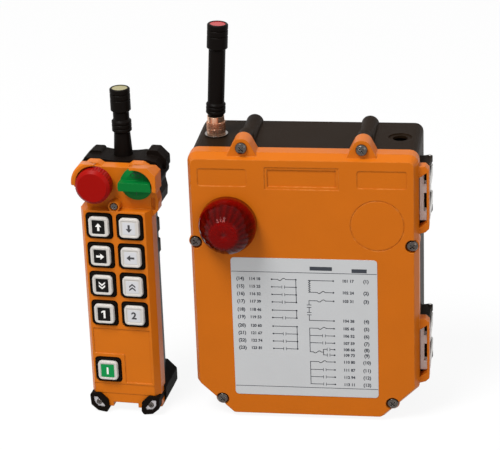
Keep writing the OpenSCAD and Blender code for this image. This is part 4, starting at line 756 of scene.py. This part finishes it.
class REMOTE_OT_lamp(bpy.types.Operator):
    """Build the lamp's fluted lens, and finish the reflector and the seal behind it"""
    bl_idname = "remote.lamp"
    bl_label = "Signal lamp"

    def execute(self, context):
        looks = context.scene.receiver_looks
        low, high = box("lamp_lens")
        r, rise = (high.x - low.x) / 2, high.y - low.y
        centre = Vector(((low.x + high.x) / 2, 0, (low.z + high.z) / 2)) * MM
        shape = Shape(Matrix.Translation(centre + Vector((0, high.y * MM, 0))))
        shape.skin(self.rings(r, rise, looks.flute_count), closed_ends=False, smooth=True)
        self.glass(looks, centre, r)
        shape.piece("fluted_lens", "lid", ["Red lens plastic"], "lamp_lens", "lamp_lens")
        dress("Black rubber", "lamp_seal")
        dress("Reflector chrome", "lamp_reflector")
        dress("Circuit board lacquer", "lamp_board")
        return {"FINISHED"}

    def rings(self, r, rise, flutes):
        """The outside from its foot to its top, and back along the inside to the start."""
        top, skirt = r * LENS_TOP, rise * LENS_SKIRT
        outer = [(r, 0.0), (r, -skirt)]
        outer += [(top + (r - top) * across, -skirt - (rise - skirt) * up) for across, up in CONE]
        outer += [(top - (r - top) * 0.12, -rise), (top * 0.5, -rise), (LENS_TIP, -rise)]
        inner = [(max(LENS_TIP, x - LENS_WALL), min(0.0, h + LENS_WALL))
                 for x, h in reversed(outer)]
        rings = []
        for n, (radius, h) in enumerate(outer + inner):
            depth = 0.0
            if radius > top * 0.9 and -rise * 0.97 < h < -skirt * 0.5:
                fade = min(1.0, max(0.0, (r * 0.97 - radius) / FLUTE_FADE))
                depth = FLUTE_IN if n >= len(outer) else FLUTE_OUT * fade
            ring = []
            for i in range(flutes * FLUTE_STEPS):
                a = 2 * math.pi * i / (flutes * FLUTE_STEPS)
                q = radius + depth * (0.5 - 0.5 * math.cos(flutes * a))
                ring.append((q * math.cos(a), h, q * math.sin(a)))
            rings.append(ring)
        return rings + rings[:1]

    def glass(self, looks, centre, r):
        """Red plastic that lets light through, with painted shade along its flutes."""
        made = bpy.data.materials.new("Red lens plastic")
        made.use_nodes = True
        tree = made.node_tree
        where = add(tree, "ShaderNodeTexCoord").outputs["Object"]
        body = moulded(tree, where, tuple(looks.lens_red), mottle=0.15, grain=2.5, rough=0.07,
                       spread=0.05)
        bump = add(tree, "ShaderNodeBump",
                   {"Height": body["Height"], "Strength": 0.03, "Distance": 0.002})
        painted_shade = lens_shade(tree, where, centre, r * LENS_TOP, r, looks.flute_count)
        feed(tree, tree.nodes["Principled BSDF"], {
            # The dark red mixed in is painted shade for the dark inside seen through the lens
            "Base Color": mix(tree, painted_shade, body["Color"], srgb("#3A0402")),
            "Roughness": body["Roughness"], "Normal": bump.outputs[0],
            "Transmission Weight": 0.6, "IOR": 1.2, "Specular IOR Level": 0.08,
            "Specular Tint": (1.0, 0.12, 0.09, 1.0), "Coat Weight": 0.08, "Coat Roughness": 0.04})


class REMOTE_OT_receiver_fittings(bpy.types.Operator):
    """Finish the screws, the hinges and what stands on the receiver's board"""
    bl_idname = "remote.receiver_fittings"
    bl_label = "Receiver fittings"

    def execute(self, context):
        dress("Dark plated screw", "lid_screws", "shell_screws", "battery_door_screw")
        dress("Brass", "lid_inserts")
        dress("Zinc plated steel", "hinge_pins", "board_spacers", "buffer_studs",
              "battery_contacts", "battery_door_pin")
        dress("Hinge link plastic", "hinge_links")
        dress("Circuit board lacquer", "relay_board", "radio_module", "handset_board")
        dress("Relay case plastic", "relays")
        dress("Terminal block plastic", "terminal_blocks")
        dress("Transformer core", "transformer")
        dress("Fuse holder plastic", "fuse_holders")
        dress("Capacitor sleeve", "capacitors")
        dress("Antenna rubber", "antenna_coax")
        self.relay_labels()
        self.terminal_screws()
        self.fuse_caps()
        self.bright_lids()
        return {"FINISHED"}

    def relay_labels(self):
        """A pale label with a plain number on each relay."""
        columns, rows, gap = 4, 3, 4.4
        low, high = box("relays")
        pitch_x, pitch_z = (high.x - low.x + gap) / columns, (high.z - low.z + gap) / rows
        front = low.y
        shape = Shape(ORIGIN)
        for row in range(rows):
            z = low.z + pitch_z * (row + 0.5) - gap / 2
            for column in range(columns):
                x = low.x + pitch_x * (column + 0.5) - gap / 2
                shape.slab(moved(rounded(12.5, 8.0, 0.8), x, z), front - 0.12, front + 0.08,
                           edge=0.05)
                number = 1 + column + columns * (rows - 1 - row)
                shape.write(str(number), 5.2, x, front - 0.1, z, 0.06, material=1)
        shape.piece("relay_labels", "receiver", ["Relay label paper", "Relay label ink"],
                    "relay_plastic")

    def terminal_screws(self):
        """A slotted screw for each way of the two terminal blocks."""
        ways, inset, slot, cheek = 13, 5.5, 0.35, 1.65
        low, high = box("terminal_blocks")
        screw = Shape(ORIGIN)
        screw.turned([(1.9, 0.6), (1.9, -0.25), (1.6, -0.5)], steps=14)
        for outline in (oblong(-cheek, -1.25, -slot, 1.25), oblong(slot, -1.25, cheek, 1.25)):
            screw.slab(outline, -0.66, -0.4)
        pitch = (high.z - low.z) / ways
        places = [(side * (high.x - inset), low.y + 0.1, low.z + pitch * (i + 0.5))
                  for side in (-1, 1) for i in range(ways)]
        self.set_out("terminal_screws", screw, places)

    def fuse_caps(self):
        """A zinc-plated clip at each end of each fuse."""
        fuses, inset = 5, 4.5
        low, high = box("fuse_holders")
        cap = Shape(ORIGIN)
        cap.turned([(3.0, 0.5), (3.0, -0.7), (2.6, -1.1), (1.2, -1.1), (1.0, -0.8)], steps=20)
        step = (high.x - low.x - 2 * inset) / (fuses - 1)
        places = [(low.x + inset + step * i, low.y,
                   (low.z + high.z) / 2 + end * (high.z - low.z) / 3)
                  for i in range(fuses) for end in (-1, 1)]
        self.set_out("fuse_caps", cap, places)

    def set_out(self, name, shape, places):
        on_places(name, shape, places, ORIGIN, "receiver", "Zinc plated steel")

    def bright_lids(self):
        """A drawn metal lid on the radio module, and the capacitors' bare tops."""
        shape = Shape(ORIGIN)
        low, spot = box("radio_module")[0], middle("radio_module")
        for w, h, corner, front, back, edge in ((26.0, 18.0, 1.6, 0.5, 1.0, 0.4),
                                                (20.0, 12.0, 1.0, 0.8, -0.4, 0.2)):
            shape.slab(moved(rounded(w, h, corner), spot.x, spot.z), low.y - front, low.y + back,
                       edge=edge)
        low, high = box("capacitors")
        r = (high.x - low.x) / 2
        for z in (low.z + r, high.z - r):
            shape.turned([(r * 0.86, 0.3), (r * 0.86, -0.15), (r * 0.8, -0.3)], 28,
                         (low.x + r, low.y, z))
            for turn in (0, 90):
                shape.line(moved([(-r * 0.6, 0), (r * 0.6, 0)], low.x + r, z, turn), 0.5,
                           low.y - 0.42, low.y - 0.2)
        shape.piece("bright_lids", "receiver", ["Zinc plated steel"], "studs")


# The knurl on the antenna's sleeve: its heights above the sleeve's foot
KNURL_LOW, KNURL_HIGH = 2.2, 10.4
RIB_COUNT, RIB_HALF, RIB_OUT, RIB_ROOT = 40, 0.32, 0.3, -0.4


class REMOTE_OT_antennas(bpy.types.Operator):
    """Finish both antennas, and knurl the receiver antenna's sleeve"""
    bl_idname = "remote.antennas"
    bl_label = "Antennas"

    def execute(self, context):
        dress("Nickel plate", "antenna_socket")
        dress("Warm plated sleeve", "receiver_antenna_sleeve")
        dress("Antenna rubber", "receiver_antenna_whip", "handset_antenna")
        dress("Red cap plastic", "receiver_antenna_cap")
        dress("Pale cap plastic", "handset_antenna_cap")
        low, high = box("receiver_antenna_sleeve")
        spot = (low + high) / 2 * MM
        half = [(RIB_ROOT, -RIB_HALF), (RIB_OUT * 0.4, -RIB_HALF * 0.9),
                (RIB_OUT, -RIB_HALF * 0.35)]
        section = half + [(x, -y) for x, y in reversed(half)]
        rib = Shape(ORIGIN)
        rib.skin([[(x, y, low.z + h) for x, y in section] for h in (KNURL_LOW, KNURL_HIGH)])
        by_nodes("sleeve_knurl", "Ring of pieces", [(0, 0, 0)], rib,
                 Matrix.Translation((spot.x, spot.y, 0)), "receiver_antenna",
                 {"Count": RIB_COUNT, "Radius": ((high.x - low.x) / 2 - 0.1) * MM,
                  "Material": finish("Warm plated sleeve")})
        return {"FINISHED"}


# Handset

# The signs' outlines about their own middle; the arrow and the chevrons point up
SIGN_SIZE = 0.92
ARROW = [moved(part, 0, 0, size=SIGN_SIZE)
         for part in ([(-3.0, 0.3), (0, 3.8), (3.0, 0.3)], oblong(-1.0, -3.6, 1.0, 0.4))]
CHEVRONS = [moved(half, 0, shift * SIGN_SIZE, size=SIGN_SIZE) for shift in (-1.5, 1.7)
            for half in ([(-3.0, -0.7), (0, 1.9), (0, 0.2), (-3.0, -2.4)],
                         [(0, 1.9), (3.0, -0.7), (3.0, -2.4), (0, 0.2)])]
ONE = (oblong(-0.3, -3.5, 1.3, 3.5), [(-2.2, 1.1), (-0.3, 2.0), (-0.3, 3.5), (-2.2, 2.5)])
BAR = (oblong(-0.8, -3.2, 0.8, 3.2),)
# What stands on each button, and its turn; the two is written
SIGNS = {"up": (ARROW, 0), "down": (ARROW, 180), "east": (ARROW, -90), "west": (ARROW, 90),
         "south": (CHEVRONS, 180), "north": (CHEVRONS, 0), "one": (ONE, 0), "two": ((), 0),
         "start": (BAR, 0)}
DARK_KEYS = ("up", "east", "south", "one")


class REMOTE_OT_buttons(bpy.types.Operator):
    """Finish the nine buttons, and lay an insert with a plain sign in each"""
    bl_idname = "remote.buttons"
    bl_label = "Buttons"

    def execute(self, context):
        dress("White cap plastic", *("button_" + key for key in KEYS))
        dress("Black rubber", "button_boots")
        side = context.scene.handset_looks.insert_side
        back = HANDSET.inverted()
        for key in KEYS:
            film, ink, w, h = "Pale insert film", "Dark sign ink", side, side
            if key in DARK_KEYS:
                film, ink, w, h = "Black insert film", "White sign ink", 11.0, 12.0
            elif key == "start":
                film, ink, w, h = "Green insert film", "White sign ink", 11.6, 12.0
            spot = back @ (middle("button_" + key) * MM) / MM
            shape = Shape(HANDSET)
            shape.slab(moved(rounded(w, h, 0.7), spot.x, spot.z), 0.12 - CAP_RISE, 0.36 - CAP_RISE,
                       edge=0.08)
            y0, y1 = 0.06 - CAP_RISE, 0.2 - CAP_RISE
            outlines, turn = SIGNS[key]
            for outline in outlines:
                shape.slab(moved(outline, spot.x, spot.z, turn), y0, y1, material=1)
            if key == "two":
                shape.write("2", 8.8, spot.x, y1, spot.z, y1 - y0, material=1, bold=0.3)
            shape.piece("insert_" + key, "key_" + key, [film, ink], "cap_white")
        return {"FINISHED"}


class REMOTE_OT_handset_case(bpy.types.Operator):
    """Finish the handset's shells, bumpers, battery door and inner parts"""
    bl_idname = "remote.handset_case"
    bl_label = "Handset case"

    def execute(self, context):
        dress("Orange shell plastic", "handset_front_shell")
        dress("Black case plastic", "handset_rear_shell", "battery_door")
        dress("Black rubber", "shell_seal", "top_bumper", "bottom_bumper")
        dress("Cast zinc", "foot_washers")
        dress("Contact block plastic", "stop_block", "rotary_block")
        dress("Switch plastic", "key_switches")
        dress("Cell sleeve", "battery_cells")
        self.door_ribs()
        return {"FINISHED"}

    def door_ribs(self):
        """Finger ribs across the battery door."""
        ribs, pitch, half_length = 7, 2.6, 9.0
        low, high = handset_box("battery_door")[1:]
        first = low.z + (high.z - low.z) * 0.16
        section = [(-0.7, -0.3), (-0.35, 0.35), (0.35, 0.35), (0.7, -0.3)]
        rib = Shape(ORIGIN)
        rib.skin([[(x, y, z) for z, y in section] for x in (-half_length, half_length)])
        places = [(0.0, high.y - 0.15, first + pitch * i) for i in range(ribs)]
        on_places("door_ribs", rib, places, HANDSET, "door", "Black case plastic")


# The knob's print: the oval round its upper figure, and the figures' heights and sizes
OVAL_HALF_WIDTH, OVAL_HALF_HEIGHT, OVAL_STEPS = 4.3, 2.2, 28
UPPER_MARK, LOWER_MARK = ("0", 8.2, 3.4), ("1", -7.8, 4.4)
FLAT_FROM, FLAT_TO, WING = 7.0, 12.0, 5.0  # the knob's flat: its radii, clear of the wing


class REMOTE_OT_knobs(bpy.types.Operator):
    """Finish the stop button and the rotary knob, with plain marks on the knob"""
    bl_idname = "remote.knobs"
    bl_label = "Knobs"

    def execute(self, context):
        dress("Stop red plastic", "stop_cap", "stop_stem")
        dress("Knob green plastic", "rotary_knob")
        points, low, high = handset_box("rotary_knob")
        x, z = (low.x + high.x) / 2, (low.z + high.z) / 2
        face = min(p.y for p in points if FLAT_FROM < math.hypot(p.x - x, p.z - z) < FLAT_TO
                   and abs(p.z - z) > WING)
        shape = Shape(HANDSET)
        steps = [2 * math.pi * i / OVAL_STEPS for i in range(OVAL_STEPS + 1)]
        oval = [(OVAL_HALF_WIDTH * math.cos(a), OVAL_HALF_HEIGHT * math.sin(a)) for a in steps]
        shape.line(moved(oval, x, z + UPPER_MARK[1]), 0.55, face - 0.06, face + 0.1)
        for figure, height, size in (UPPER_MARK, LOWER_MARK):
            shape.write(figure, size, x, face + 0.08, z + height, 0.14, bold=0.05)
        shape.piece("knob_marks", "rotary", ["Knob mark ink"], "knob_green")
        return {"FINISHED"}


# Floor, lamps and camera; in metres

FLOOR = ((-6, -4), (6, -4), (6, 8), (-6, 8))
FLOOR_GAP = 0.0002
LAMP_TARGET = Vector((0, 0, 0.12))
LAMPS = (("Key", Vector((-0.8, -1.15, 2.3)), 1.1, "key_power"),
         ("Fill", Vector((1.6, -1.4, 0.9)), 1.4, "fill_power"))


def seen_rays(tree):
    """1 for the rays that the eye, a gloss or a glass sends out, otherwise 0."""
    path = add(tree, "ShaderNodeLightPath").outputs
    some = maths(tree, "MAXIMUM", path["Is Camera Ray"], path["Is Glossy Ray"])
    return maths(tree, "MAXIMUM", some, path["Is Transmission Ray"])


class REMOTE_OT_stage(bpy.types.Operator):
    """Lay the floor, and set the lamps, the room's light and the camera"""
    bl_idname = "remote.stage"
    bl_label = "Stage"

    def execute(self, context):
        looks = context.scene.stage_looks
        self.floor()
        self.room(context, looks)
        for name, place, size, power in LAMPS:
            light = bpy.data.lights.new(name, "AREA")
            light.shape = "DISK"
            light.size = size
            light.energy = getattr(looks, power)
            holder = linked(name, light)
            holder.location = place
            holder.rotation_euler = (LAMP_TARGET - place).to_track_quat("-Z", "Y").to_euler()
        self.camera(context, looks)
        context.scene.view_settings.view_transform = "Standard"
        return {"FINISHED"}

    def floor(self):
        data = bpy.data.meshes.new("floor")
        z = CAD_BOX[0].z - FLOOR_GAP
        data.from_pydata([(x, y, z) for x, y in FLOOR], [], [(0, 1, 2, 3)])
        linked("floor", data)
        paper = bpy.data.materials.new("Floor paper")
        paper.use_nodes = True
        data.materials.append(paper)
        tree = paper.node_tree
        seen = seen_rays(tree)
        tone = add(tree, "ShaderNodeMapRange", {"Value": seen, "To Min": 0.35, "To Max": 0.95})
        shader = tree.nodes["Principled BSDF"]
        feed(tree, shader, {"Base Color": tone.outputs[0], "Roughness": 0.9,
                            "Specular IOR Level": 0.1})
        glow = add(tree, "ShaderNodeEmission", {"Color": WHITE, "Strength": 1.0})
        share = maths(tree, "MULTIPLY", seen, 0.9)
        both = add(tree, "ShaderNodeMixShader",
                   {0: share, 1: shader.outputs[0], 2: glow.outputs[0]})
        feed(tree, tree.nodes["Material Output"], {"Surface": both.outputs[0]})

    def room(self, context, looks):
        world = bpy.data.worlds.new("Room")
        world.use_nodes = True
        context.scene.world = world
        tree = world.node_tree
        strength = add(tree, "ShaderNodeMapRange",
                       {"Value": seen_rays(tree), "To Min": looks.sky, "To Max": 1.0})
        feed(tree, tree.nodes["Background"], {"Color": WHITE, "Strength": strength.outputs[0]})

    def camera(self, context, looks):
        data = bpy.data.cameras.new("Camera")
        data.lens = looks.lens
        data.sensor_width = 36
        data.sensor_fit = "HORIZONTAL"
        data.clip_start = 0.05
        level = math.cos(looks.pitch)
        forward = Vector((-math.sin(looks.yaw) * level, math.cos(looks.yaw) * level,
                          -math.sin(looks.pitch)))
        right = forward.cross(Vector((0, 0, 1))).normalized()
        up = right.cross(forward)
        across = right * math.cos(looks.roll) + up * math.sin(looks.roll)
        above = up * math.cos(looks.roll) - right * math.sin(looks.roll)
        turn = Matrix((across, above, -forward)).transposed().to_4x4()
        holder = linked("Camera", data)
        holder.matrix_world = Matrix.Translation(looks.place) @ turn
        context.scene.camera = holder


# Add-on

GROUPS = {"receiver_looks": ReceiverLooks, "handset_looks": HandsetLooks, "stage_looks": StageLooks}
STEPS = (REMOTE_OT_receiver_case, REMOTE_OT_label, REMOTE_OT_lamp, REMOTE_OT_receiver_fittings,
         REMOTE_OT_antennas, REMOTE_OT_handset_case, REMOTE_OT_buttons, REMOTE_OT_knobs,
         REMOTE_OT_stage)


class REMOTE_PT_panel(bpy.types.Panel):
    """Sizes, colours and building steps of the remote control"""
    bl_idname = "REMOTE_PT_panel"
    bl_label = "Crane remote"
    bl_space_type = "VIEW_3D"
    bl_region_type = "UI"
    bl_category = "Remote"

    def draw(self, context):
        for name, group in GROUPS.items():
            rows = self.layout.box()
            for key in group.__annotations__:
                rows.prop(getattr(context.scene, name), key)
        for step in STEPS:
            self.layout.operator(step.bl_idname)


CLASSES = (*GROUPS.values(), *STEPS, REMOTE_PT_panel)


def register():
    for kind in CLASSES:
        bpy.utils.register_class(kind)
    for name, group in GROUPS.items():
        setattr(bpy.types.Scene, name, bpy.props.PointerProperty(type=group))


def unregister():
    for name in GROUPS:
        delattr(bpy.types.Scene, name)
    for kind in reversed(CLASSES):
        bpy.utils.unregister_class(kind)


def main():
    register()
    for make_tree in (moulded_group, edges_group, places_tree, ring_tree):
        make_tree()
    for step in STEPS:
        getattr(bpy.ops.remote, step.bl_idname.split(".")[1])()


if __name__ == "__main__":
    main()
